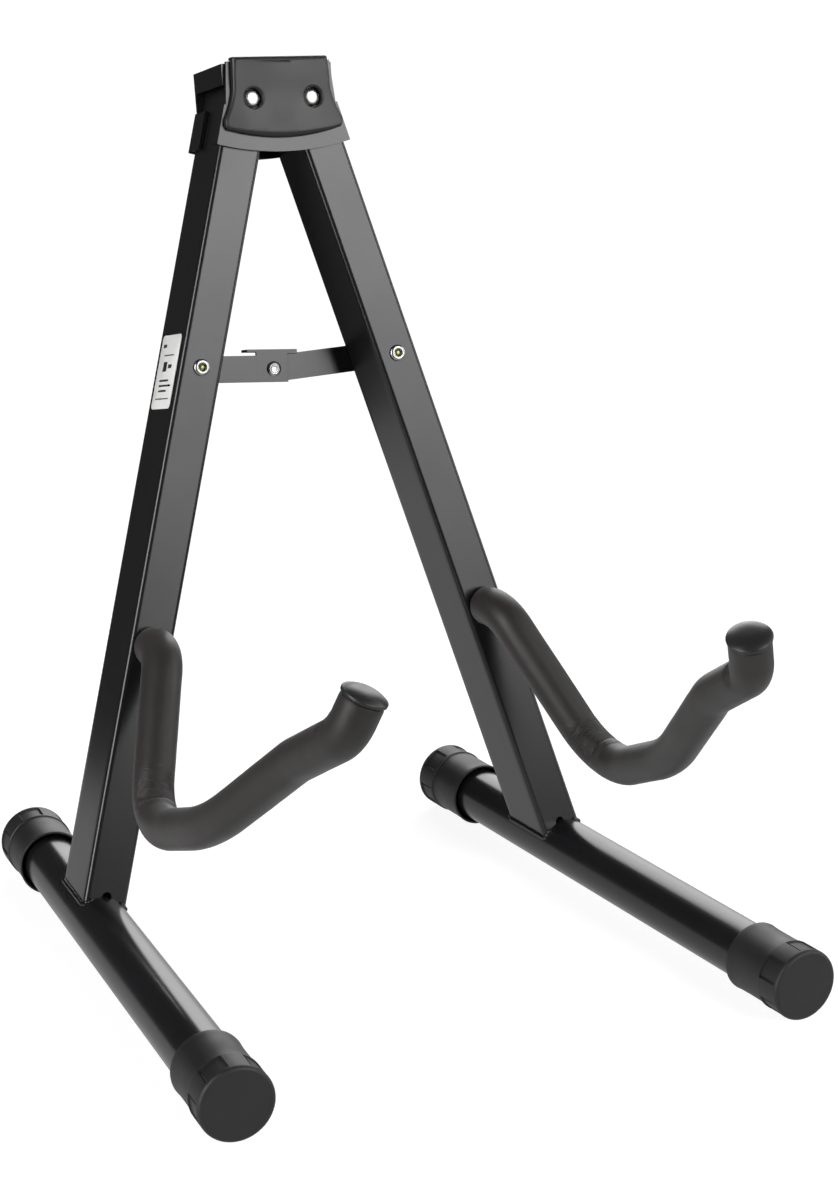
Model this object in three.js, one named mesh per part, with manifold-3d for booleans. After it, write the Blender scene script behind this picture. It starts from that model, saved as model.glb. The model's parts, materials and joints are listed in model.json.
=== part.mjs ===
// Folding A-frame guitar stand: two welded steel legs that swing in a riveted head bracket,
// a two-link brace with an over-centre stop, and foam-covered arms that carry the instrument.
// Millimetres, +Z up, the front of the stand faces -Y, +X is to the right seen from the front.
import * as THREE from 'three';
import { mergeVertices } from 'three/addons/utils/BufferGeometryUtils.js';
import Module from 'manifold-3d';

const wasm = await Module();
wasm.setup();

const rad = THREE.MathUtils.degToRad;
const LEFT = -1;
const RIGHT = 1;

// ---------------------------------------------------------------- driving dimensions
const LEAN = rad(12.35);          // the A-frame leans back by this much
const SPREAD = rad(16.15);        // each leg opens outward by this much from the middle plane
const CLEARANCE = 0.3;            // gap kept between touching pieces
const SHEET = 2;                  // bracket plate thickness

const LEG = { width: 25, depth: 40, wall: 1.5, corner: 2.5, toFootAxis: 463, abovePivot: 11 };
const PIVOT = { halfSpacing: 18.2, hole: 3.3, shank: 3, head: 5.2 };
const FOOT = { radius: 16, wall: 1.5, front: 244.7, rear: 121.2, vent: 3 };
const CAP = { radius: 19.8, length: 45, endWall: 4 };
const BRACKET = {
  inner: LEG.depth / 2 + 0.4,     // plates stand this far in front of and behind the pivot plane
  topWidth: 31.5, shoulder: -4, cornerX: 40.7, cornerZ: -24.4, sagitta: 5.2,
  frontTop: 20.8, webTop: 19.9, tabBottom: 8.5,
  flangeStart: 7, flangeEnd: 29, frontFlange: 7, rearFlange: 16,
};
const PAD = {
  thickness: 4.8, top: 23, hook: 1.7, hookDepth: 3, hole: 5.75,
  topX: 29.2, waistX: 29.8, waistZ: 5, flareX: 35.2, flareZ: -10, lowX: 34.3, lowZ: -17, sagitta: 4.9,
};
const BRACE = {
  fromPivot: 152.8, droop: 3.3, width: 15.4, sheet: 1.6, middleHole: 2.8,
  squareEnd: 9, stopEnd: 15, stopStart: -16.6, riseStart: -10.8, stopTop: 11.3, stopDepth: 8.6,
  stepStart: 31, stepEnd: 36,
};
const ARM = { rod: 4.5, foam: 11.2, foamBore: 5.2, endCap: 11.9 };
const LABEL = { width: 29, height: 42.5, top: 136, thickness: 0.25, corner: 2.5 };

// The arm's bends in the plane of its leg: distance down from the pivot, distance in front of
// the leg's centre line, set toward the middle of the stand, and the bend radius there.
const armBends = (corners) => [
  { down: 310.7, front: LEG.depth / 2, inward: 0, radius: 0 },
  { down: 310.7, front: 39.1, inward: 0, radius: 24 },
  ...corners.map(([down, front, inward, radius]) => ({ down, front, inward, radius })),
];
const ARM_BENDS = {
  [LEFT]: armBends([
    [406.6, 85.9, -7.6, 44], [395.4, 168.6, -8.3, 130], [352.8, 246.3, -2.9, 50],
    [336.1, 291.4, -0.3, 20], [317.8, 299.3, 1.4, 0],
  ]),
  [RIGHT]: armBends([
    [413.2, 87.7, -7.6, 42], [395.3, 171.3, -5.2, 110], [350.3, 244.5, -1.3, 50],
    [335.4, 288.9, -1, 20], [315.3, 299.6, 0.8, 0],
  ]),
};

// ---------------------------------------------------------------- derived sizes
// A foot is welded square to its leg and pitched so that it lies level when the stand is open.
const FOOT_PITCH = Math.atan(Math.tan(LEAN) / Math.cos(SPREAD));
const PLATE_FACE = BRACKET.inner + SHEET;
const BRACE_PIVOT_X = PIVOT.halfSpacing + BRACE.fromPivot * Math.sin(SPREAD);
const BRACE_PIVOT_Z = -BRACE.fromPivot * Math.cos(SPREAD);
const LINK_LENGTH = Math.hypot(BRACE_PIVOT_X, BRACE.droop);
const LINK_SLOPE = Math.atan2(BRACE.droop, BRACE_PIVOT_X);

// ---------------------------------------------------------------- materials
const finish = (color, roughness, metalness = 0) =>
  new THREE.MeshStandardMaterial({ color, roughness, metalness });
const POWDER_COAT = () => finish(0x1c1d1f, 0.35, 0.2);
const ZINC = () => finish(0xd7d6cf, 0.3, 1);
const SOFT_RUBBER = () => finish(0x2b2b2d, 0.8);
const MOULDED_PAD = () => finish(0x3c3d40, 0.65);
const ARM_FOAM = () => finish(0x3a3835, 0.95);
const PLASTIC = () => finish(0x3a3a3c, 0.5);
const STICKER = () => finish(0xf4f4f2, 0.4);

// ---------------------------------------------------------------- solid helpers
// Welds a geometry's vertices, drops collapsed triangles and turns it outward if inside out.
function tidySolid(geometry) {
  const bare = new THREE.BufferGeometry();
  bare.setAttribute('position', geometry.getAttribute('position').clone());
  if (geometry.index) bare.setIndex(geometry.index.clone());
  const welded = mergeVertices(bare, 1e-4);
  const source = welded.index.array;
  const points = welded.getAttribute('position');
  const corner = (index) => new THREE.Vector3().fromBufferAttribute(points, index);
  const kept = [];
  let volume = 0;
  for (let i = 0; i < source.length; i += 3) {
    const [a, b, c] = [source[i], source[i + 1], source[i + 2]];
    if (a === b || b === c || c === a) continue;
    kept.push(a, b, c);
    volume += corner(a).dot(corner(b).cross(corner(c)));
  }
  if (volume < 0) kept.reverse();
  welded.setIndex(kept);
  return welded;
}

function toManifold(geometry) {
  const solid = tidySolid(geometry);
  const vertProperties = new Float32Array(solid.getAttribute('position').array);
  const triVerts = new Uint32Array(solid.index.array);
  return new wasm.Manifold(new wasm.Mesh({ numProp: 3, vertProperties, triVerts }));
}

function fromManifold(manifold) {
  const mesh = manifold.getMesh();
  const geometry = new THREE.BufferGeometry();
  geometry.setAttribute('position', new THREE.BufferAttribute(mesh.vertProperties, 3));
  geometry.setIndex(new THREE.BufferAttribute(mesh.triVerts, 1));
  return geometry;
}

// Joins all solids of `added` and cuts all solids of `removed` from the result.
function shape(added, removed = []) {
  const body = added.map(toManifold).reduce((sum, part) => sum.add(part));
  return fromManifold(removed.map(toManifold).reduce((rest, part) => rest.subtract(part), body));
}

// A plate drawn in X and Z, filling the depth between two Y values.
function plate(outline, fromY, toY, curveSegments = 10) {
  const settings = { depth: toY - fromY, bevelEnabled: false, curveSegments };
  const geometry = new THREE.ExtrudeGeometry(outline, settings);
  geometry.rotateX(Math.PI / 2);
  return geometry.translate(0, toY, 0);
}

// A round bar along Y.
function barY(radius, fromY, toY, x = 0, z = 0, segments = 20) {
  const geometry = new THREE.CylinderGeometry(radius, radius, toY - fromY, segments);
  return geometry.translate(x, (fromY + toY) / 2, z);
}

function box(fromX, toX, fromY, toY, fromZ, toZ) {
  const geometry = new THREE.BoxGeometry(toX - fromX, toY - fromY, toZ - fromZ);
  return geometry.translate((fromX + toX) / 2, (fromY + toY) / 2, (fromZ + toZ) / 2);
}

// A turned solid about Y from [radius, y] pairs that start and end on the axis,
// or close on themselves where `ring` is set.
function turned(profile, segments = 24, ring = false) {
  const points = profile.map(([radius, y]) => new THREE.Vector2(radius, y));
  if (ring) points.push(points[0].clone());
  return tidySolid(new THREE.LatheGeometry(points, segments));
}

function roundedRectangle(width, height, radius, hand = THREE.Shape) {
  const outline = new hand();
  const [w, h] = [width / 2, height / 2];
  outline.moveTo(w - radius, -h);
  outline.absarc(w - radius, -h + radius, radius, -Math.PI / 2, 0);
  outline.absarc(w - radius, h - radius, radius, 0, Math.PI / 2);
  outline.absarc(-w + radius, h - radius, radius, Math.PI / 2, Math.PI);
  outline.absarc(-w + radius, -h + radius, radius, Math.PI, 1.5 * Math.PI);
  outline.closePath();
  return outline;
}

function addMesh(parent, name, geometry, material) {
  const mesh = new THREE.Mesh(geometry, material);
  mesh.name = name;
  parent.add(mesh);
  return mesh;
}

// ---------------------------------------------------------------- leg and foot
// Frame of a leg: origin on its head pivot, Z up along the tube, -Y out of its front face.
function footAxisCylinder(radius, segments) {
  const reach = FOOT.front + FOOT.rear;
  const geometry = new THREE.CylinderGeometry(radius, radius, reach, segments);
  geometry.rotateX(FOOT_PITCH);
  return geometry.translate(0, 0, -LEG.toFootAxis);
}

// Rectangular tube, open at the top, its lower end coped to sit on the round foot tube.
function legTube() {
  const wallSection = roundedRectangle(LEG.width, LEG.depth, LEG.corner);
  const inside = LEG.corner - LEG.wall;
  const bore = roundedRectangle(LEG.width - 2 * LEG.wall, LEG.depth - 2 * LEG.wall, inside, THREE.Path);
  wallSection.holes.push(bore);
  const length = LEG.toFootAxis + LEG.abovePivot;
  const settings = { depth: length, bevelEnabled: false, curveSegments: 4 };
  const tube = new THREE.ExtrudeGeometry(wallSection, settings);
  tube.translate(0, 0, -LEG.toFootAxis);
  const cope = footAxisCylinder(FOOT.radius + CLEARANCE, 40);
  const crown = -LEG.toFootAxis + (FOOT.radius + CLEARANCE) / Math.cos(FOOT_PITCH);
  const rise = (LEG.depth / 2) * Math.tan(FOOT_PITCH);
  const half = LEG.depth / 2;
  const frontVent = barY(FOOT.vent, -half - 2, -half + 4, 0, crown - rise, 16);
  const rearVent = barY(FOOT.vent, half - 4, half + 2, 0, crown + rise, 16);
  const pivotHole = barY(PIVOT.hole, -half - 2, half + 2);
  const braceHole = barY(PIVOT.hole, -half - 2, half + 2, 0, -BRACE.fromPivot);
  return shape([tube], [cope, frontVent, rearVent, pivotHole, braceHole]);
}

// Round foot tube, open at both ends, turned about the foot's own Y axis.
function footTube() {
  const inner = FOOT.radius - FOOT.wall;
  const profile = [
    [FOOT.radius, -FOOT.front], [FOOT.radius, FOOT.rear],
    [inner, FOOT.rear], [inner, -FOOT.front],
  ];
  return turned(profile, 32, true);
}

// Rubber cap: a flared sleeve that grips the tube, a stepped band and a thick closed end.
// The profile runs along the tube from the closed end, at zero, to the open rim.
function footCap() {
  const grip = FOOT.radius + CLEARANCE;
  const { radius, length, endWall } = CAP;
  const profile = [
    [0, 0], [radius - 2.4, 0], [radius - 0.7, 0.7], [radius, 2.4], [radius, 17],
    [radius - 0.8, 17.6], [radius - 0.8, 38], [radius - 0.4, length],
    [radius - 1.8, length], [grip + 0.9, 36], [grip, 31], [grip, endWall], [0, endWall],
  ];
  return turned(profile, 32);
}

function addFoot(leg, side, sideName) {
  const foot = new THREE.Group();
  foot.position.z = -LEG.toFootAxis;
  foot.rotation.x = FOOT_PITCH;
  leg.add(foot);
  addMesh(foot, `${sideName}_foot_tube`, footTube(), POWDER_COAT());
  const frontCap = addMesh(foot, `${sideName}_front_foot_cap`, footCap(), SOFT_RUBBER());
  frontCap.position.y = -(FOOT.front + CLEARANCE + CAP.endWall);
  const rearCap = addMesh(foot, `${sideName}_rear_foot_cap`, footCap(), SOFT_RUBBER());
  rearCap.position.y = FOOT.rear + CLEARANCE + CAP.endWall;
  rearCap.rotation.z = Math.PI;
}

// ---------------------------------------------------------------- arm
// A path through the bends, straight between them and rounded at each by its radius.
function armPath(side, startGap, endGap) {
  const bends = ARM_BENDS[side];
  const corners = bends.map((bend) => new THREE.Vector3(-side * bend.inward, -bend.front, -bend.down));
  const last = corners.length - 1;
  const toward = (from, to) => corners[to].clone().sub(corners[from]).normalize();
  corners[0].addScaledVector(toward(0, 1), startGap);
  corners[last].addScaledVector(toward(last - 1, last), -endGap);
  const path = new THREE.CurvePath();
  let start = corners[0];
  for (let i = 1; i < last; i += 1) {
    const into = toward(i - 1, i);
    const away = toward(i, i + 1);
    const turn = into.angleTo(away);
    const reach = bends[i].radius * Math.tan(turn / 2);
    const handle = (4 / 3) * Math.tan(turn / 4) * bends[i].radius;
    const enter = corners[i].clone().addScaledVector(into, -reach);
    const leave = corners[i].clone().addScaledVector(away, reach);
    path.add(new THREE.LineCurve3(start, enter));
    path.add(new THREE.CubicBezierCurve3(
      enter, enter.clone().addScaledVector(into, handle),
      leave.clone().addScaledVector(away, -handle), leave));
    start = leave;
  }
  path.add(new THREE.LineCurve3(start, corners[last]));
  return path;
}

function circle(radius, hand = THREE.Shape) {
  const outline = new hand();
  outline.absarc(0, 0, radius, 0, 2 * Math.PI);
  return outline;
}

function sweptAlongArm(section, path, curveSegments) {
  const settings = { extrudePath: path, steps: 32, bevelEnabled: false, curveSegments };
  return tidySolid(new THREE.ExtrudeGeometry(section, settings));
}

// Push-on cap: domed top, thin rim, and a shallow recess that takes the end of the rod.
function armEndCap() {
  const profile = [
    [0, 4.6], [6, 4.1], [9.6, 2.9], [ARM.endCap - 0.7, 1.6], [ARM.endCap, 0.8], [ARM.endCap - 0.2, 0],
    [ARM.foamBore, 0], [ARM.foamBore, 2], [0, 2],
  ];
  return turned(profile, 24);
}

function addArm(leg, side, sideName) {
  const rodEnd = -1.6;
  const foamEnd = 0.4;
  const rodPath = armPath(side, CLEARANCE, rodEnd);
  const foamPath = armPath(side, 1.5, foamEnd);
  const foamSection = circle(ARM.foam);
  foamSection.holes.push(circle(ARM.foamBore, THREE.Path));
  addMesh(leg, `${sideName}_arm_rod`, sweptAlongArm(circle(ARM.rod), rodPath, 4), POWDER_COAT());
  addMesh(leg, `${sideName}_arm_foam`, sweptAlongArm(foamSection, foamPath, 6), ARM_FOAM());
  const cap = addMesh(leg, `${sideName}_arm_end_cap`, armEndCap(), PLASTIC());
  const tip = foamPath.getPointAt(1);
  const along = foamPath.getTangentAt(1);
  cap.position.copy(tip).addScaledVector(along, CLEARANCE);
  cap.quaternion.setFromUnitVectors(new THREE.Vector3(0, 1, 0), along);
}

// ---------------------------------------------------------------- rivets
// Hollow rivet through the leg: a rolled ring at the front, open down the middle.
function eyelet(toY, withTail) {
  const front = -LEG.depth / 2 - CLEARANCE;
  const bore = 1.9;
  const profile = [
    [bore, front - 0.9], [bore + 0.8, front - 1.4], [4, front - 1.3], [4.7, front - 0.6], [4.7, front],
    [PIVOT.shank, front], [PIVOT.shank, toY],
  ];
  if (withTail) profile.push([4.6, toY], [4.6, toY + 0.7], [3.6, toY + 1.2], [bore, toY + 1.2]);
  else profile.push([bore, toY]);
  return turned(profile, 24, true);
}

function headPivotRivet() {
  const seat = PLATE_FACE + CLEARANCE;
  const { head, shank } = PIVOT;
  const profile = [
    [0, -seat - 1.7], [3.4, -seat - 1.5], [head, -seat - 0.7], [head, -seat], [shank, -seat],
    [shank, seat], [head, seat], [head, seat + 0.7], [3.4, seat + 1.5], [0, seat + 1.7],
  ];
  return turned(profile, 24);
}

// ---------------------------------------------------------------- head bracket
// Plate outline: straight upper sides, a shoulder, flared lower sides and a bowed lower edge.
function bracketOutline(topWidth, top) {
  const { shoulder, cornerX, cornerZ, sagitta } = BRACKET;
  const flangeLine = (z) => cornerX + (z - cornerZ) * -Math.tan(SPREAD);
  const radius = (cornerX ** 2 + sagitta ** 2) / (2 * sagitta);
  const sweep = Math.asin(cornerX / radius);
  const outline = new THREE.Shape();
  outline.moveTo(topWidth, top);
  outline.lineTo(-topWidth, top);
  outline.lineTo(-flangeLine(shoulder) + 1.2, shoulder);
  outline.lineTo(-flangeLine(shoulder), shoulder);
  outline.lineTo(-cornerX, cornerZ);
  outline.absarc(0, cornerZ - sagitta + radius, radius, 1.5 * Math.PI - sweep, 1.5 * Math.PI + sweep);
  outline.lineTo(flangeLine(shoulder), shoulder);
  outline.lineTo(flangeLine(shoulder) - 1.2, shoulder);
  outline.closePath();
  return outline;
}

// Stop flange: bent over the outer side of an open leg, parallel to it.
function stopFlange(side, fromY, toY) {
  const near = LEG.width / 2 + 0.4;
  const [low, high] = side === LEFT ? [-near - SHEET, -near] : [near, near + SHEET];
  const flange = box(low, high, fromY, toY, -BRACKET.flangeEnd, -BRACKET.flangeStart);
  flange.rotateY(-side * SPREAD);
  return flange.translate(side * PIVOT.halfSpacing, 0, 0);
}

function pivotHoles(radius, fromY, toY) {
  return [LEFT, RIGHT].map((side) => barY(radius, fromY, toY, side * PIVOT.halfSpacing, 0, 24));
}

function bracketFrontPlate() {
  const front = plate(bracketOutline(BRACKET.topWidth, BRACKET.frontTop), -PLATE_FACE, -BRACKET.inner);
  const flanges = [LEFT, RIGHT].map((side) =>
    stopFlange(side, -PLATE_FACE + 0.01, -PLATE_FACE + BRACKET.frontFlange));
  return shape([front, ...flanges], pivotHoles(PIVOT.hole, -PLATE_FACE - 1, -BRACKET.inner + 1));
}

// Rear shell: back plate, a web over the leg tops, a tab down each side and two stop flanges.
function bracketRearShell() {
  const edge = BRACKET.topWidth + SHEET;
  const webFront = -BRACKET.inner + CLEARANCE;
  const back = plate(bracketOutline(edge, BRACKET.webTop), BRACKET.inner, PLATE_FACE);
  const web = box(-edge, edge, webFront, PLATE_FACE, BRACKET.webTop - SHEET, BRACKET.webTop);
  const tabs = [LEFT, RIGHT].map((side) => {
    const [low, high] = side === LEFT ? [-edge, -edge + SHEET] : [edge - SHEET, edge];
    return box(low, high, webFront + 0.3, PLATE_FACE, BRACKET.tabBottom, BRACKET.webTop);
  });
  const flanges = [LEFT, RIGHT].map((side) =>
    stopFlange(side, PLATE_FACE - BRACKET.rearFlange, PLATE_FACE - 0.01));
  return shape([back, web, ...tabs, ...flanges], pivotHoles(PIVOT.hole, BRACKET.inner - 1, PLATE_FACE + 1));
}

// Pad outline: narrow straight top, sides that flare outward, rounded lower corners, bowed edge.
function padOutline() {
  const { topX, waistX, waistZ, flareX, flareZ, lowX, lowZ, sagitta } = PAD;
  const radius = (lowX ** 2 + sagitta ** 2) / (2 * sagitta);
  const sweep = Math.asin(lowX / radius);
  const [bendX, bendZ] = [waistX + 1.4, waistZ - 8];
  const [cornerX, cornerZ] = [flareX + 2, flareZ - 4];
  const outline = new THREE.Shape();
  outline.moveTo(topX, PAD.top);
  outline.lineTo(-topX, PAD.top);
  outline.lineTo(-waistX, waistZ);
  outline.quadraticCurveTo(-bendX, bendZ, -flareX, flareZ);
  outline.quadraticCurveTo(-cornerX, cornerZ, -lowX, lowZ);
  outline.absarc(0, lowZ - sagitta + radius, radius, 1.5 * Math.PI - sweep, 1.5 * Math.PI + sweep);
  outline.quadraticCurveTo(cornerX, cornerZ, flareX, flareZ);
  outline.quadraticCurveTo(bendX, bendZ, waistX, waistZ);
  outline.closePath();
  return outline;
}

// Moulded pad: lies on the front plate and hooks back over its top edge.
function headPad() {
  const back = -PLATE_FACE - CLEARANCE;
  const face = plate(padOutline(), back - PAD.thickness, back, 8);
  const hookBack = -PLATE_FACE + PAD.hookDepth;
  const hook = box(-PAD.topX, PAD.topX, back - 0.5, hookBack, PAD.top - PAD.hook, PAD.top);
  return shape([face, hook], pivotHoles(PAD.hole, back - PAD.thickness - 1, back + 1));
}

function addHead(head) {
  addMesh(head, 'bracket_rear_shell', bracketRearShell(), POWDER_COAT());
  addMesh(head, 'bracket_front_plate', bracketFrontPlate(), POWDER_COAT());
  addMesh(head, 'head_pad', headPad(), MOULDED_PAD());
  for (const [side, sideName] of [[LEFT, 'left'], [RIGHT, 'right']]) {
    const rivet = addMesh(head, `${sideName}_pivot_rivet`, headPivotRivet(), ZINC());
    rivet.position.x = side * PIVOT.halfSpacing;
  }
}

// ---------------------------------------------------------------- brace
const LINK_FRONT = LEG.depth / 2 + 0.4;
const LINK_BACK = LINK_FRONT + BRACE.sheet;
const REAR_LINK_FRONT = LINK_BACK + CLEARANCE;
const REAR_LINK_BACK = REAR_LINK_FRONT + BRACE.sheet;

// Left link, from its leg rivet: rounded at the leg, cut square past the middle rivet, with a
// raised upper edge folded back over the other link. That fold is the stop.
function leftLink() {
  const half = BRACE.width / 2;
  const cut = LINK_LENGTH + BRACE.squareEnd;
  const stopEnd = LINK_LENGTH + BRACE.stopEnd;
  const stopStart = LINK_LENGTH + BRACE.stopStart;
  const riseStart = LINK_LENGTH + BRACE.riseStart;
  const { stopTop } = BRACE;
  const stopUnder = stopTop - BRACE.sheet;
  const outline = new THREE.Shape();
  outline.absarc(0, 0, half, Math.PI / 2, 1.5 * Math.PI);
  outline.lineTo(cut, -half);
  outline.lineTo(cut, stopUnder - 1);
  outline.lineTo(stopEnd, stopUnder - 1);
  outline.lineTo(stopEnd, stopTop);
  outline.lineTo(riseStart, stopTop);
  outline.lineTo(riseStart, half);
  outline.closePath();
  const web = plate(outline, LINK_FRONT, LINK_BACK);
  const stopBack = LINK_FRONT + BRACE.stopDepth;
  const stop = box(stopStart, stopEnd, LINK_FRONT, stopBack, stopUnder, stopTop);
  const legHole = barY(PIVOT.hole, LINK_FRONT - 1, LINK_BACK + 1);
  const middleHole = barY(BRACE.middleHole, LINK_FRONT - 1, LINK_BACK + 1, LINK_LENGTH, 0);
  return shape([web, stop], [legHole, middleHole]);
}

// Right link, from the middle rivet: it lies behind the left link and steps forward by one
// sheet and the gap to reach the back of its leg.
function rightLink() {
  const half = BRACE.width / 2;
  const { stepStart, stepEnd } = BRACE;
  const outline = new THREE.Shape();
  outline.absarc(0, 0, half, Math.PI / 2, 1.5 * Math.PI);
  outline.absarc(LINK_LENGTH, 0, half, -Math.PI / 2, Math.PI / 2);
  outline.closePath();
  const blank = toManifold(plate(outline, LINK_FRONT - 1, REAR_LINK_BACK + 1));
  const profile = new THREE.Shape();
  profile.moveTo(-half - 1, REAR_LINK_FRONT);
  profile.lineTo(stepStart, REAR_LINK_FRONT);
  profile.lineTo(stepEnd, LINK_FRONT);
  profile.lineTo(LINK_LENGTH + half + 1, LINK_FRONT);
  profile.lineTo(LINK_LENGTH + half + 1, LINK_BACK);
  profile.lineTo(stepEnd + 0.5, LINK_BACK);
  profile.lineTo(stepStart + 0.5, REAR_LINK_BACK);
  profile.lineTo(-half - 1, REAR_LINK_BACK);
  profile.closePath();
  const band = new THREE.ExtrudeGeometry(profile, { depth: BRACE.width + 2, bevelEnabled: false });
  band.translate(0, 0, -half - 1);
  const middleHole = toManifold(barY(BRACE.middleHole, LINK_FRONT - 1, REAR_LINK_BACK + 1));
  const legHole = toManifold(barY(PIVOT.hole, LINK_FRONT - 1, REAR_LINK_BACK + 1, LINK_LENGTH, 0));
  return fromManifold(toManifold(band).intersect(blank).subtract(middleHole).subtract(legHole));
}

function middleRivet() {
  const front = LINK_FRONT - CLEARANCE;
  const rear = REAR_LINK_BACK + CLEARANCE;
  const profile = [
    [0, front - 1.3], [2.8, front - 1.2], [4.3, front - 0.5], [4.3, front], [2.5, front],
    [2.5, rear], [4.3, rear], [4.3, rear + 0.5], [2.8, rear + 1.2], [0, rear + 1.3],
  ];
  return turned(profile, 24);
}

// Formed end of the right leg rivet, on the outer face of the right link.
function rivetTail() {
  const seat = LINK_BACK + CLEARANCE;
  const profile = [
    [1.9, LINK_FRONT], [PIVOT.shank, LINK_FRONT], [PIVOT.shank, seat], [4.6, seat],
    [4.6, seat + 0.7], [3.6, seat + 1.2], [1.9, seat + 1.2],
  ];
  return turned(profile, 24, true);
}

function addBrace(head) {
  const middleZ = BRACE_PIVOT_Z - BRACE.droop;
  const left = addMesh(head, 'left_brace_link', leftLink(), POWDER_COAT());
  left.position.set(-BRACE_PIVOT_X, 0, BRACE_PIVOT_Z);
  left.rotation.y = LINK_SLOPE;
  const right = addMesh(head, 'right_brace_link', rightLink(), POWDER_COAT());
  right.position.set(0, 0, middleZ);
  right.rotation.y = -LINK_SLOPE;
  addMesh(head, 'brace_middle_rivet', middleRivet(), ZINC()).position.z = middleZ;
  const tail = addMesh(head, 'right_brace_rivet_tail', rivetTail(), ZINC());
  tail.position.set(BRACE_PIVOT_X, 0, BRACE_PIVOT_Z);
}

// ---------------------------------------------------------------- label
function blankLabel() {
  const outline = roundedRectangle(LABEL.width, LABEL.height, LABEL.corner);
  const sheet = new THREE.ExtrudeGeometry(outline, {
    depth: LABEL.thickness, bevelEnabled: false, curveSegments: 4,
  });
  sheet.rotateZ(Math.PI / 2);
  sheet.rotateY(-Math.PI / 2);
  const surface = -LEG.width / 2 - CLEARANCE;
  return sheet.translate(surface, 0, -LABEL.top - LABEL.height / 2);
}

// ---------------------------------------------------------------- assembly
function addLeg(head, side, sideName) {
  const leg = new THREE.Group();
  leg.position.x = side * PIVOT.halfSpacing;
  leg.rotation.y = -side * SPREAD;
  head.add(leg);
  addMesh(leg, `${sideName}_leg_tube`, legTube(), POWDER_COAT());
  addFoot(leg, side, sideName);
  addArm(leg, side, sideName);
  const rivetLength = side === LEFT ? LINK_BACK + CLEARANCE : LEG.depth / 2;
  const rivet = addMesh(leg, `${sideName}_brace_rivet`, eyelet(rivetLength, side === LEFT), ZINC());
  rivet.position.z = -BRACE.fromPivot;
  if (side === LEFT) addMesh(leg, 'blank_label', blankLabel(), STICKER());
}

// Stands the object on the floor with the middle of its footprint at the origin.
function placeOnFloor(group) {
  group.updateMatrixWorld(true);
  const bounds = new THREE.Box3().setFromObject(group, true);
  const centre = bounds.getCenter(new THREE.Vector3());
  group.position.set(-centre.x, -centre.y, -bounds.min.z);
}

const head = new THREE.Group();
head.rotation.x = -LEAN;
addHead(head);
addLeg(head, LEFT, 'left');
addLeg(head, RIGHT, 'right');
addBrace(head);

const group = new THREE.Group();
group.add(head);
placeOnFloor(group);

export default group;
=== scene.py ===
"""Looks of a folding A-frame guitar stand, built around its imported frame.

Each sub-assembly is a class that draws its pieces in millimetres in its own frame, dresses them in
their finish and hangs them on the body that they move with.
"""

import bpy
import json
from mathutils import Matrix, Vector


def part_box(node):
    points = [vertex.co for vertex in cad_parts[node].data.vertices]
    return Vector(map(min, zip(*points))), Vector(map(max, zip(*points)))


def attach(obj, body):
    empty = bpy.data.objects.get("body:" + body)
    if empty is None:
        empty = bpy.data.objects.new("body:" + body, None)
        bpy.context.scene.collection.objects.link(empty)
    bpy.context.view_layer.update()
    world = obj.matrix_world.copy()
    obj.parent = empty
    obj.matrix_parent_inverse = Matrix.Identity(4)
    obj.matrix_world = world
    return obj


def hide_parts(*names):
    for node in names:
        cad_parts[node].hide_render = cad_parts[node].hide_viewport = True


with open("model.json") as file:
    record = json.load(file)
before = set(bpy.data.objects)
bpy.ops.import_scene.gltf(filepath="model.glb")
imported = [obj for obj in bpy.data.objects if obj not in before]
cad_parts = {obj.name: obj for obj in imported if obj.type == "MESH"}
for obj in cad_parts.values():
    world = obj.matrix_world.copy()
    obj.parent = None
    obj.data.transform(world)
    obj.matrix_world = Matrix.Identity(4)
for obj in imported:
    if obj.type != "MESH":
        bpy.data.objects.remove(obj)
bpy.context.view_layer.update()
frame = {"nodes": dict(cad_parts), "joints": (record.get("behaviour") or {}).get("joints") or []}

import json
import logging
import math
from dataclasses import dataclass, field
from enum import Enum
from typing import Any, Callable, Sequence

import bmesh
import bpy
from mathutils import Matrix, Vector, noise
from mathutils.geometry import delaunay_2d_cdt

MM = 0.001
FULL_TURN = 2 * math.pi
LOG = logging.getLogger("guitar_stand")
# The corners of a rectangle in the order in which an outline passes them, as signs of its two axes.
QUARTERS = ((1, -1), (1, 1), (-1, 1), (-1, -1))
Flat = tuple[float, float]
Ring = list[int]


class Side(Enum):
    """Left or right half of the stand, seen from the front; the value is the sign of X."""

    LEFT = -1
    RIGHT = 1

    @property
    def word(self) -> str:
        """The side as it stands in the names of pieces."""
        return self.name.lower()


# ------------------------------------------------------------------ colours and nodes
def linear(code: str) -> tuple[float, float, float, float]:
    """Turns an sRGB hex colour into a linear one.

    Args:
        code: Six hex digits with a leading hash.

    Returns:
        Linear red, green and blue, and an alpha of one.
    """
    parts = [int(code[i : i + 2], 16) / 255 for i in (1, 3, 5)]
    red, green, blue = [p / 12.92 if p <= 0.04045 else ((p + 0.055) / 1.055) ** 2.4 for p in parts]
    return red, green, blue, 1.0


def add_node(tree: bpy.types.NodeTree, kind: str, settings: dict[str, Any] | None = None,
             **inputs: Any) -> bpy.types.Node:
    """Adds a node, sets its properties and fills its inputs.

    Args:
        tree: The node tree.
        kind: The node's Blender type.
        settings: Values of the node's own properties.
        **inputs: One entry for each input, holding a value or the socket to link. An underscore
            stands for a space, and i0, i1 and so on for an input's number.

    Returns:
        The new node.
    """
    node = tree.nodes.new(kind)
    for key, value in (settings or {}).items():
        setattr(node, key, value)
    for key, value in inputs.items():
        name = key.replace("_", " ")
        by_number = name[0] == "i" and name[1:].isdigit()
        socket = node.inputs[int(name[1:]) if by_number else name]
        if isinstance(value, bpy.types.NodeSocket):
            tree.links.new(value, socket)
        else:
            socket.default_value = value
    return node


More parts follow.
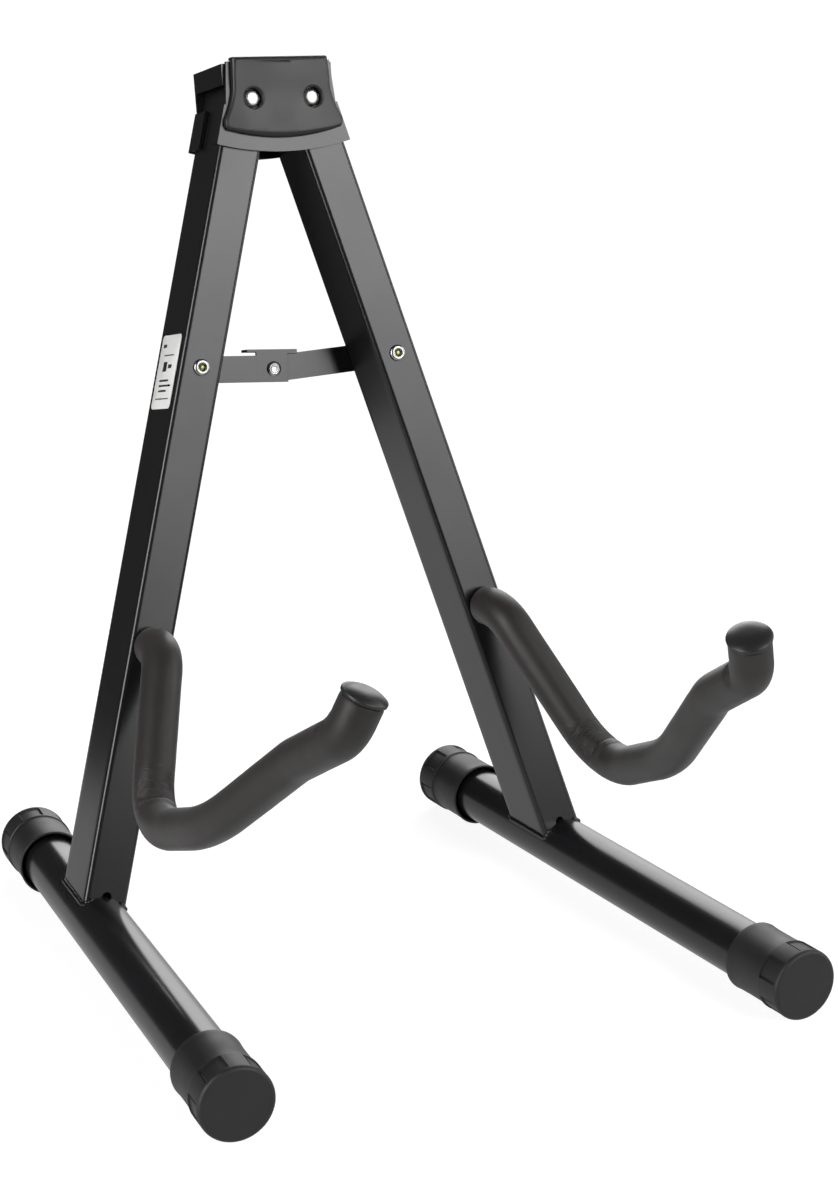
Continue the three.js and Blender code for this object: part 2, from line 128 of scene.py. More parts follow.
# ------------------------------------------------------------------ finishes
@dataclass(frozen=True)
class Finish:
    """A surface: its two nearest colours, its gloss and the size of its patterns.

    Lengths are in millimetres.
    """

    name: str
    slot: str
    color: str
    shade: str
    mottle: float
    roughness: tuple[float, float]
    grain: float
    grain_depth: float
    metallic: float = 0.0
    ior: float = 1.5
    ripple: float = 0.0
    ripple_depth: float = 0.0
    sheen: float = 0.0

    def material(self) -> bpy.types.Material:
        """Builds the material, or finds the one already built.

        Returns:
            The material.
        """
        found = bpy.data.materials.get(self.name)
        if found:
            return found
        material = bpy.data.materials.new(self.name)
        material.use_nodes = True
        tree = material.node_tree
        tree.nodes.clear()
        place = add_node(tree, "ShaderNodeTexCoord").outputs["Object"]
        shader = add_node(
            tree, "ShaderNodeBsdfPrincipled", Base_Color=self.colour(tree, place),
            Roughness=self.gloss(tree, place), Metallic=self.metallic, Normal=self.relief(tree, place),
        )
        if not self.metallic:
            shader.inputs["IOR"].default_value = self.ior
        shader.inputs["Sheen Weight"].default_value = self.sheen
        shader.inputs["Sheen Roughness"].default_value = 0.6
        add_node(tree, "ShaderNodeOutputMaterial", Surface=shader.outputs["BSDF"])
        return material

    def colour(self, tree: bpy.types.NodeTree, place: bpy.types.NodeSocket) -> bpy.types.NodeSocket:
        """Drifts between the two colours over the surface.

        Args:
            tree: The material's nodes.
            place: The coordinates, in metres.

        Returns:
            The colour socket.
        """
        scale = 1 / (self.mottle * MM)
        drift = add_node(tree, "ShaderNodeTexNoise", Vector=place, Scale=scale, Detail=3.0)
        mix = add_node(tree, "ShaderNodeMix", {"data_type": "RGBA"}, i0=drift.outputs["Fac"],
                       i6=linear(self.color), i7=linear(self.shade))
        return mix.outputs[2]

    def gloss(self, tree: bpy.types.NodeTree, place: bpy.types.NodeSocket) -> bpy.types.NodeSocket:
        """Varies the roughness in faint clouds, as handling and uneven curing do.

        Args:
            tree: The material's nodes.
            place: The coordinates, in metres.

        Returns:
            The roughness socket.
        """
        scale = 0.6 / (self.mottle * MM)
        cloud = add_node(tree, "ShaderNodeTexNoise", Vector=place, Scale=scale, Detail=4.0)
        low, high = self.roughness
        span = add_node(tree, "ShaderNodeMapRange", Value=cloud.outputs["Fac"],
                        From_Min=0.3, From_Max=0.7, To_Min=low, To_Max=high)
        return span.outputs["Result"]

    def relief(self, tree: bpy.types.NodeTree, place: bpy.types.NodeSocket) -> bpy.types.NodeSocket:
        """Raises the fine grain, and a longer ripple where the finish has one.

        Args:
            tree: The material's nodes.
            place: The coordinates, in metres.

        Returns:
            The normal socket.
        """
        scale = 1 / (self.grain * MM)
        grain = add_node(tree, "ShaderNodeTexNoise", Vector=place, Scale=scale, Detail=2.0)
        bump = add_node(tree, "ShaderNodeBump", Height=grain.outputs["Fac"],
                        Distance=self.grain_depth * MM)
        if self.ripple:
            scale = 1 / (self.ripple * MM)
            wave = add_node(tree, "ShaderNodeTexNoise", Vector=place, Scale=scale, Detail=1.0)
            bump = add_node(tree, "ShaderNodeBump", Height=wave.outputs["Fac"],
                            Distance=self.ripple_depth * MM, Normal=bump.outputs["Normal"])
        return bump.outputs["Normal"]


# Black polyester powder coat on steel: deep gloss, with the faint orange peel of the cured powder.
POWDER_COAT = Finish("black_powder_coat", "powder_coat", "#151516", "#1b1b1d", 40.0, (0.2, 0.27),
                     1.1, 0.004, ripple=5.0, ripple_depth=0.012)
# Bright zinc plate on steel rivets: pale metal with a soft, slightly cloudy shine.
BRIGHT_ZINC = Finish("bright_zinc_plate", "zinc", "#b9b9b4", "#9fa09e", 2.0, (0.22, 0.36),
                     0.5, 0.006, metallic=1.0)
# Yellow-passivated zinc inside the hollow rivets: a dull greenish gold.
YELLOW_ZINC = Finish("yellow_passivated_zinc", "zinc", "#a8a468", "#7d8048", 1.5, (0.3, 0.42),
                     0.4, 0.008, metallic=1.0)
# Closed-cell rubber foam with its moulded skin: warm dark grey, dull, finely pored.
SLEEVE_FOAM = Finish("closed_cell_foam", "arm_foam", "#272423", "#1f1c1a", 22.0, (0.44, 0.54),
                     0.55, 0.02, ior=1.4, ripple=2.6, ripple_depth=0.04, sheen=0.1)
# Moulded soft rubber with a spark-eroded skin: matte charcoal.
CAP_RUBBER = Finish("moulded_rubber", "cap_rubber", "#191818", "#211f1f", 12.0, (0.46, 0.58),
                    0.45, 0.02, ior=1.5, ripple=6.0, ripple_depth=0.03)
# Moulded thermoplastic rubber of the head pad: satin dark grey with a smooth skin.
PAD_RUBBER = Finish("satin_pad_rubber", "moulded_pad", "#1e1e20", "#262628", 18.0, (0.4, 0.5),
                    0.5, 0.01, ior=1.5, ripple=7.0, ripple_depth=0.03)
# Injection-moulded polyethylene of the arm caps: satin, slightly waxy dark grey.
CAP_PLASTIC = Finish("moulded_polyethylene", "arm_plastic", "#1d1d1f", "#262628", 6.0, (0.34, 0.44),
                     0.6, 0.008, ior=1.51, ripple=3.5, ripple_depth=0.03)
# White polypropylene label film: smooth, faintly uneven over its glue.
LABEL_FILM = Finish("white_label_film", "label_film", "#f3f3f1", "#ebebe8", 9.0, (0.3, 0.38),
                    0.8, 0.004, ior=1.49, ripple=6.0, ripple_depth=0.02)
# Black label ink, a touch glossier than the film.
LABEL_INK = Finish("black_label_ink", "label_film", "#1d1d1f", "#242427", 4.0, (0.25, 0.35),
                   0.5, 0.003, ior=1.5)


# ------------------------------------------------------------------ frames
class Frames:
    """Placements of the stand's sub-assemblies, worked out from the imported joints."""

    FOOT_AXIS = 463.0

    def __init__(self, joints: Sequence[dict]) -> None:
        """Reads the joints.

        Args:
            joints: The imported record's joints.
        """
        by_name = {joint["name"]: joint for joint in joints}
        pivot = Vector(by_name["left_leg_fold"]["pos_m"]) / MM
        brace = Vector(by_name["left_link_fold"]["pos_m"]) / MM
        middle = Vector(by_name["right_link_fold"]["pos_m"]) / MM
        axis = Vector(by_name["left_leg_fold"]["axis"])
        self.lean = math.atan2(axis.z, -axis.y)
        self.half_spacing = -pivot.x
        self.head = Matrix.Translation((0, pivot.y, pivot.z)) @ Matrix.Rotation(-self.lean, 4, "X")
        to_head = self.head.inverted()
        self.brace_pivot = to_head @ brace
        self.middle_pivot = to_head @ middle
        run = -self.brace_pivot.x - self.half_spacing
        self.spread = math.atan2(run, -self.brace_pivot.z)
        self.from_pivot = math.hypot(run, self.brace_pivot.z)
        self.foot_pitch = math.atan(math.tan(self.lean) / math.cos(self.spread))

    def leg(self, side: Side) -> Matrix:
        """The frame of a leg: origin on its pivot, Z up the tube, -Y out of its front face."""
        turn = Matrix.Rotation(-side.value * self.spread, 4, "Y")
        return self.head @ Matrix.Translation((side.value * self.half_spacing, 0, 0)) @ turn

    def foot(self, side: Side) -> Matrix:
        """The frame of a foot: origin under the leg, Y along the tube to the rear."""
        down = Matrix.Translation((0, 0, -self.FOOT_AXIS))
        return self.leg(side) @ down @ Matrix.Rotation(self.foot_pitch, 4, "X")


# ------------------------------------------------------------------ drawing meshes
@dataclass
class Draft:
    """A closed mesh while it is drawn, in millimetres."""

    points: list[Vector] = field(default_factory=list)
    faces: list[Sequence[int]] = field(default_factory=list)

    def ring(self, points: Sequence[Vector]) -> Ring:
        """Adds points.

        Args:
            points: Their places.

        Returns:
            Their numbers.
        """
        first = len(self.points)
        self.points.extend(points)
        return list(range(first, first + len(points)))

    def bridge(self, a: Ring, b: Ring, closed: bool = True) -> None:
        """Joins two rings of equal length with quads.

        Args:
            a: The first ring.
            b: The second ring.
            closed: Whether the last point joins the first.
        """
        count = len(a)
        for i in range(count if closed else count - 1):
            j = (i + 1) % count
            self.faces.append((a[i], a[j], b[j], b[i]))

    def fan(self, ring: Ring, centre: Vector) -> None:
        """Closes a ring with triangles to one point.

        Args:
            ring: The ring.
            centre: The point.
        """
        middle = self.ring([centre])[0]
        for i, number in enumerate(ring):
            self.faces.append((number, ring[(i + 1) % len(ring)], middle))

    def build(self, name: str, place: Matrix, sharp: float = 35.0) -> bpy.types.Object:
        """Makes the Blender object, in metres, with its faces turned outward.

        Args:
            name: The piece's name.
            place: The frame that the points are in.
            sharp: Edges sharper than this many degrees stay crisp.

        Returns:
            The object.
        """
        mesh = bpy.data.meshes.new(name)
        mesh.from_pydata([place @ point * MM for point in self.points], [], self.faces)
        work = bmesh.new()
        work.from_mesh(mesh)
        bmesh.ops.remove_doubles(work, verts=work.verts, dist=1e-7)
        bmesh.ops.recalc_face_normals(work, faces=work.faces)
        work.to_mesh(mesh)
        work.free()
        made = bpy.data.objects.new(name, mesh)
        bpy.context.scene.collection.objects.link(made)
        shade(made, sharp)
        return made


def shade(made: bpy.types.Object, sharp: float) -> None:
    """Shades an object smooth, keeping edges sharper than an angle in degrees."""
    made.data.shade_smooth()
    made.data.set_sharp_from_angle(angle=math.radians(sharp))


def hang(made: bpy.types.Object, body: str, finish: Finish, *nodes: str) -> bpy.types.Object:
    """Dresses a piece, hangs it on its body and lets it stand for CAD nodes.

    Args:
        made: The piece.
        body: The body that it rides on.
        finish: Its finish.
        *nodes: The CAD nodes that it replaces.

    Returns:
        The piece.
    """
    made.data.materials.clear()
    made.data.materials.append(finish.material())
    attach(made, body)
    if nodes:
        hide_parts(*nodes)
    LOG.info("%s: %d faces on %s", made.name, len(made.data.polygons), body)
    return made


def turned(profile: Sequence[Flat], segments: int, ring: bool = False) -> Draft:
    """Turns a profile about Y.

    Args:
        profile: Pairs of radius and Y. Without `ring`, the ends are closed on the axis.
        segments: Steps around.
        ring: Whether the profile closes on itself.

    Returns:
        The drawing.
    """
    draft = Draft()
    rings = []
    angles = [FULL_TURN * step / segments for step in range(segments)]
    for radius, along in profile:
        rings.append(draft.ring([
            Vector((radius * math.cos(a), along, radius * math.sin(a))) for a in angles
        ]))
    for a, b in zip(rings, rings[1:]):
        draft.bridge(a, b)
    if ring:
        draft.bridge(rings[-1], rings[0])
    else:
        draft.fan(rings[0], Vector((0, profile[0][1], 0)))
        draft.fan(rings[-1], Vector((0, profile[-1][1], 0)))
    return draft


def arc(centre: Flat, radius: float, start: float, end: float, steps: int) -> list[Flat]:
    """Points on an arc.

    Args:
        centre: Its centre.
        radius: Its radius.
        start: Its first angle, in degrees.
        end: Its last angle, in degrees.
        steps: How many stretches it has.

    Returns:
        The points.
    """
    angles = [math.radians(start + (end - start) * i / steps) for i in range(steps + 1)]
    return [(centre[0] + radius * math.cos(a), centre[1] + radius * math.sin(a)) for a in angles]


def smooth_step(value: float, low: float, high: float) -> float:
    """Rises smoothly from 0 at `low` to 1 at `high`."""
    share = min(max((value - low) / (high - low), 0.0), 1.0)
    return share * share * (3 - 2 * share)


def apply_modifiers(made: bpy.types.Object) -> None:
    """Bakes an object's modifiers into its mesh.

    Args:
        made: The object.
    """
    bpy.context.view_layer.update()
    evaluated = made.evaluated_get(bpy.context.evaluated_depsgraph_get())
    mesh = bpy.data.meshes.new_from_object(evaluated)
    made.modifiers.clear()
    made.data = mesh


def softened(node: str, name: str, place: Matrix, edge: float, bend: float,
             is_bend: Callable[[Vector, Vector], bool]) -> bpy.types.Object:
    """Copies a sheet-metal node and rounds its cut edges a little and its bends more.

    Args:
        node: The CAD node.
        name: The new piece's name.
        place: The frame in which bends are looked for.
        edge: Radius of the cut edges, in millimetres.
        bend: Radius of the bends, in millimetres.
        is_bend: Says from an edge's middle and direction, in that frame, whether it is a bend.

    Returns:
        The new piece.
    """
    mesh = frame["nodes"][node].data.copy()
    to_place = place.inverted()
    work = bmesh.new()
    work.from_mesh(mesh)
    bmesh.ops.remove_doubles(work, verts=work.verts, dist=1e-6)
    flat = math.radians(1)
    crisp = math.radians(25)
    bmesh.ops.dissolve_limit(work, angle_limit=flat, verts=work.verts, edges=work.edges)
    weight = work.edges.layers.float.new("bevel_weight_edge")
    for line in work.edges:
        if len(line.link_faces) != 2 or line.calc_face_angle(0.0) < crisp:
            continue
        a, b = [to_place @ (vertex.co / MM) for vertex in line.verts]
        line[weight] = 1.0 if is_bend((a + b) / 2, (b - a).normalized()) else edge / bend
    work.to_mesh(mesh)
    work.free()
    made = bpy.data.objects.new(name, mesh)
    bpy.context.scene.collection.objects.link(made)
    rounding = made.modifiers.new("edges", "BEVEL")
    rounding.limit_method = "WEIGHT"
    rounding.width = bend * MM
    rounding.segments = 4
    rounding.use_clamp_overlap = True
    made.data.shade_smooth()
    evening = made.modifiers.new("even_faces", "WEIGHTED_NORMAL")
    evening.weight = 100
    apply_modifiers(made)
    return made


# ------------------------------------------------------------------ legs
@dataclass
class Leg:
    """Rectangular leg tube, coped onto its foot, with weld beads and, on the left, the label."""

    side: Side
    frames: Frames
    width: float = 25.0
    depth: float = 40.0
    wall: float = 1.5
    corner: float = 2.5
    above_pivot: float = 11.0
    foot_radius: float = 16.0
    vent: float = 3.0
    bead: float = 1.5
    bead_pitch: float = 2.0
    side_steps: int = 12
    front_steps: int = 40
    rows: tuple[float, ...] = (-430.0, -310.0, -150.0)

    @property
    def body(self) -> str:
        """The body that this leg's pieces ride on."""
        return f"{self.side.word}_leg"

    def cope(self, x: float, y: float) -> float:
        """Height at which the leg's wall meets the foot tube.

        Args:
            x: The place across the leg's section.
            y: The place along its depth.

        Returns:
            The height in the leg's frame.
        """
        pitch = self.frames.foot_pitch
        rise = math.sqrt(max(self.foot_radius ** 2 - x * x, 0.0))
        return (rise + y * math.sin(pitch)) / math.cos(pitch) - Frames.FOOT_AXIS

    def outline(self, inset: float) -> list[Vector]:
        """Points around the tube's section.

        Args:
            inset: Distance in from the outer surface.

        Returns:
            The points, the same number for any inset.
        """
        w, d = self.width / 2 - inset, self.depth / 2 - inset
        radius = max(self.corner - inset, 0.4)
        points: list[Flat] = []
        for turn, (x, y) in enumerate(QUARTERS):
            start = -90 + 90 * turn
            points += arc((x * (w - radius), y * (d - radius)), radius, start, start + 90, 5)
            steps = self.side_steps if turn % 2 == 0 else self.front_steps
            for share in (1 - 2 * i / steps for i in range(1, steps)):
                if turn % 2 == 0:
                    points.append((x * w, y * (d - radius) * share))
                else:
                    points.append((x * (w - radius) * share, y * d))
        return [Vector((x, y, 0)) for x, y in points]

    def foot_edge(self, point: Vector, inset: float) -> float:
        """Height of the tube's lower edge, the vents included.

        Args:
            point: The place on the tube's section.
            inset: How far that section lies in from the outer surface.

        Returns:
            The height in the leg's frame.
        """
        height = self.cope(point.x, point.y)
        on_end = abs(point.y) > self.depth / 2 - inset - 0.01
        if on_end and abs(point.x) < self.vent:
            height += math.sqrt(self.vent ** 2 - point.x ** 2) - 0.05
        return height

    def tube(self) -> None:
        """Builds the leg tube."""
        draft = Draft()
        shells = []
        for inset in (0.0, self.wall):
            section = self.outline(inset)
            low = [Vector((p.x, p.y, self.foot_edge(p, inset))) for p in section]
            rows = [low]
            for height in self.rows + (self.above_pivot,):
                rows.append([Vector((p.x, p.y, height)) for p in section])
            shells.append([draft.ring(row) for row in rows])
        outer, inner = shells
        for shell in shells:
            for a, b in zip(shell, shell[1:]):
                draft.bridge(a, b)
        draft.bridge(outer[0], inner[0])
        draft.bridge(outer[-1], inner[-1])
        made = draft.build(f"{self.side.word}_leg", self.frames.leg(self.side))
        hang(made, self.body, POWDER_COAT, f"{self.side.word}_leg_tube")

    def weld(self, hand: int) -> None:
        """Lays the weld bead down one side of the leg's lower end.

        Args:
            hand: The sign of X of that side.
        """
        w, d = self.width / 2, self.depth / 2
        radius = self.corner
        flat = [(x, -d) for x in (w - 5.0, w - 4.0, w - 3.0)]
        front = arc((w - radius, -d + radius), radius, -90, 0, 4)
        side = [(w, -d + radius + (2 * d - 2 * radius) * i / 36) for i in range(1, 36)]
        rear = arc((w - radius, d - radius), radius, 0, 90, 4)
        around = flat + front + side + rear + [(x, d) for x, _ in reversed(flat)]
        path = [Vector((hand * x, y, self.cope(x, y))) for x, y in around]
        made = swept_bead(path, self.bead, self.bead_pitch, seed=17.0 * hand + self.side.value)
        name = f"{self.side.word}_foot_weld_{'inner' if hand == -self.side.value else 'outer'}"
        hang(made.build(name, self.frames.leg(self.side), 80.0), self.body, POWDER_COAT)

    def label(self) -> None:
        """Sticks the label on the leg's outer face, printed with plain bars only."""
        low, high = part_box("blank_label")
        place = self.frames.leg(self.side)
        centre = place.inverted() @ ((low + high) / 2 / MM)
        face = -self.width / 2 - 0.02
        half_wide, half_tall, corner = 14.5, 21.25, 2.5
        sheet = Draft()
        rings = []
        for lift, grow in ((0.0, 0.0), (0.16, 0.0), (0.22, -0.12)):
            outline = []
            for turn, (y, z) in enumerate(QUARTERS):
                middle = (y * (half_wide - corner), z * (half_tall - corner))
                outline += arc(middle, corner + grow, -90 + 90 * turn, 90 * turn, 6)
            rings.append(sheet.ring([
                Vector((face - lift, centre.y + y, centre.z + z)) for y, z in outline
            ]))
        sheet.fan(rings[0], Vector((face, centre.y, centre.z)))
        for a, b in zip(rings, rings[1:]):
            sheet.bridge(a, b)
        sheet.fan(rings[-1], Vector((face - 0.22, centre.y, centre.z)))
        hang(sheet.build("label_sheet", place, 60.0), self.body, LABEL_FILM, "blank_label")
        # Plain bars of ink: middle across and up, width and height.
        bars = (
            (8.5, 15.0, 5.0, 1.9), (0.0, 9.5, 15.0, 0.7), (3.5, 3.0, 5.5, 5.5),
            (-4.0, 3.0, 5.5, 2.2), (1.5, -5.0, 14.0, 1.1), (-1.0, -8.0, 18.0, 1.1),
            (1.5, -11.0, 12.0, 1.1), (0.0, -15.5, 20.0, 0.7),
        )
        print_marks = Draft()
        for y, z, wide, tall in bars:
            corners = [(y - wide / 2, z - tall / 2), (y + wide / 2, z - tall / 2),
                       (y + wide / 2, z + tall / 2), (y - wide / 2, z + tall / 2)]
            a, b = [
                print_marks.ring([Vector((x, centre.y + p, centre.z + q)) for p, q in corners])
                for x in (face - 0.2, face - 0.25)
            ]
            print_marks.bridge(a, b)
            print_marks.faces += [tuple(a), tuple(b)]
        hang(print_marks.build("label_print", place, 30.0), self.body, LABEL_INK)

    def make(self) -> None:
        """Builds and dresses the whole leg."""
        self.tube()
        self.weld(-1)
        self.weld(1)
        if self.side is Side.LEFT:
            self.label()


def swept_bead(path: Sequence[Vector], radius: float, pitch: float, seed: float) -> Draft:
    """Sweeps a weld bead with its overlapping ripples.

    Args:
        path: The bead's line.
        radius: Its mean radius.
        pitch: Distance from ripple to ripple.
        seed: Offset into the noise, so that no two beads are alike.

    Returns:
        The drawing.
    """
    draft = Draft()
    rings = []
    fine = resampled(path, 0.5)
    length = 0.0
    for i, point in enumerate(fine):
        ahead = fine[min(i + 1, len(fine) - 1)] - fine[max(i - 1, 0)]
        along = ahead.normalized()
        side = along.orthogonal().normalized()
        up = along.cross(side)
        length += (point - fine[i - 1]).length if i else 0.0
        phase = (length / pitch) % 1.0
        end = min(i, len(fine) - 1 - i) * 0.5
        size = radius * (0.85 + 0.25 * phase) * math.sqrt(min((end + 0.3) / 1.6, 1.0))
        ring = []
        for step in range(14):
            angle = FULL_TURN * step / 14
            spot = Vector((seed, length / 3, math.cos(angle) + math.sin(angle)))
            wobble = 1 + 0.14 * noise.noise(spot)
            ring.append(point + (side * math.cos(angle) + up * math.sin(angle)) * size * wobble)
        rings.append(draft.ring(ring))
    for a, b in zip(rings, rings[1:]):
        draft.bridge(a, b)
    draft.fan(rings[0], fine[0])
    draft.fan(rings[-1], fine[-1])
    return draft


def resampled(path: Sequence[Vector], step: float) -> list[Vector]:
    """Spaces points evenly along a line.

    Args:
        path: The line's points.
        step: The distance wanted.

    Returns:
        The evenly spaced points.
    """
    result = [path[0].copy()]
    carry = 0.0
    for a, b in zip(path, path[1:]):
        length = (b - a).length
        reach = step - carry
        while reach <= length:
            result.append(a.lerp(b, reach / length))
            reach += step
        carry = length - (reach - step)
    return result


# ------------------------------------------------------------------ feet
@dataclass
class Foot:
    """Round foot tube under a leg, with a stepped rubber cap on each end."""

    side: Side
    frames: Frames
    radius: float = 16.0
    wall: float = 1.5
    front: float = 244.7
    rear: float = 121.2
    gap: float = 0.3
    cap_radius: float = 19.8
    cap_length: float = 45.0
    end_wall: float = 4.0
    panels: int = 10
    panel_start: float = 3.2
    panel_end: float = 15.4
    panel_depth: float = 0.9
    groove: float = 0.6

    @property
    def body(self) -> str:
        """The body that this foot's pieces ride on."""
        return f"{self.side.word}_leg"

    def tube(self) -> None:
        """Builds the foot tube, its cut ends lightly chamfered."""
        inner = self.radius - self.wall
        chamfer = 0.4
        profile = [
            (inner, -self.front), (self.radius - chamfer, -self.front),
            (self.radius, -self.front + chamfer), (self.radius, self.rear - chamfer),
            (self.radius - chamfer, self.rear), (inner, self.rear),
        ]
        draft = turned(profile, 128, ring=True)
        name = f"{self.side.word}_foot_tube_shell"
        hang(draft.build(name, self.frames.foot(self.side)), self.body, POWDER_COAT,
             f"{self.side.word}_foot_tube")

    def panel_relief(self, angle: float, along: float, radius: float) -> float:
        """Depth of the raised and sunken panels around the cap's band.

        Args:
            angle: Angle around the cap.
            along: Distance from the closed end.
            radius: The profile's own radius there.

        Returns:
            The change of radius, zero or less.
        """
        if radius < self.cap_radius - 1.3 or not 1.5 < along < 19.0:
            return 0.0
        share = angle / FULL_TURN * self.panels
        number = int(share) % self.panels
        from_side = min(share % 1.0, 1 - share % 1.0) * FULL_TURN / self.panels * self.cap_radius
        in_band = smooth_step(along, self.panel_start - 0.25, self.panel_start + 0.05)
        in_band *= 1 - smooth_step(along, self.panel_end - 0.05, self.panel_end + 0.25)
        groove = (1 - smooth_step(from_side, 0.42, 0.6)) * self.groove
        if number % 2:
            return -in_band * (self.panel_depth * smooth_step(from_side, 0.05, 0.4))
        return -in_band * groove

    def cap_profile(self) -> list[Flat]:
        """Radius and distance from the closed end, down the cap's outside and back up its bore."""
        grip = self.radius + self.gap
        r, length = self.cap_radius, self.cap_length
        profile = [(r - 2.6, 0.0)]
        profile += arc((r - 2.2, 2.2), 2.2, -90, 0, 7)
        profile += [(r, along) for along in (2.7, 2.95, 3.25, 6.0, 9.0, 12.0, 15.35, 15.65, 16.3)]
        profile += [(r - 0.1, 16.8), (r - 0.45, 17.1), (r - 0.8, 17.3), (r - 0.85, 17.8)]
        profile += [(r - 0.85, 24.0), (r - 0.85, 32.0), (r - 0.8, 38.0), (r - 0.65, 41.5)]
        profile += arc((r - 1.1, length - 0.7), 0.7, 0, 180, 8)
        profile += [(grip + 1.9, 41.5), (grip + 1.7, 38.0), (grip + 0.9, 34.0), (grip, 31.0)]
        return profile + [(grip, self.end_wall)]

    def cap_angles(self) -> list[float]:
        """Angles around the cap, close together where one panel meets the next."""
        angles = []
        sector = FULL_TURN / self.panels
        for number in range(self.panels):
            start = number * sector
            edge = [0.0, 0.1, 0.28, 0.42, 0.6, 1.2]
            offsets = [e / self.cap_radius for e in edge]
            offsets += [sector * share for share in (0.2, 0.35, 0.5, 0.65, 0.8)]
            offsets += [sector - e / self.cap_radius for e in reversed(edge[1:])]
            angles += [start + offset for offset in offsets]
        return angles

    def cap(self, at_front: bool) -> None:
        """Moulds one foot cap.

        Args:
            at_front: Whether it is the front cap.
        """
        angles = self.cap_angles()
        draft = Draft()
        rings = []
        turn = math.radians(9.0)
        for radius, along in self.cap_profile():
            reach = [radius + self.panel_relief(a, along, radius) for a in angles]
            rings.append(draft.ring([
                Vector((q * math.cos(a + turn), along, q * math.sin(a + turn)))
                for q, a in zip(reach, angles)
            ]))
        for a, b in zip(rings, rings[1:]):
            draft.bridge(a, b)
        draft.fan(rings[0], Vector((0, 0, 0)))
        draft.fan(rings[-1], Vector((0, self.end_wall, 0)))
        place = self.frames.foot(self.side)
        if at_front:
            place = place @ Matrix.Translation((0, -(self.front + self.gap + self.end_wall), 0))
        else:
            place = place @ Matrix.Translation((0, self.rear + self.gap + self.end_wall, 0))
            place = place @ Matrix.Rotation(math.pi, 4, "Z")
        end = "front" if at_front else "rear"
        made = draft.build(f"{self.side.word}_{end}_cap", place, 28.0)
        hang(made, self.body, CAP_RUBBER, f"{self.side.word}_{end}_foot_cap")

    def make(self) -> None:
        """Builds and dresses the whole foot."""
        self.tube()
        self.cap(at_front=True)
        self.cap(at_front=False)


# ------------------------------------------------------------------ arms
@dataclass(frozen=True)
class Bend:
    """A corner of the arm's path in the leg's frame, and the radius that it is bent to."""

    down: float
    front: float
    inward: float
    radius: float = 0.0


@dataclass
class PathPoint:
    """A place on the arm's path, with the frame and the bend around it."""

    place: Vector
    along: Vector
    across: Vector
    length: float
    hollow: Vector


@dataclass(frozen=True)
class Fold:
    """A crease of the foam: its bend, its gathers' reach, its cut and its gathers' depth."""

    bend: int
    before: float
    cut: float
    gather: float


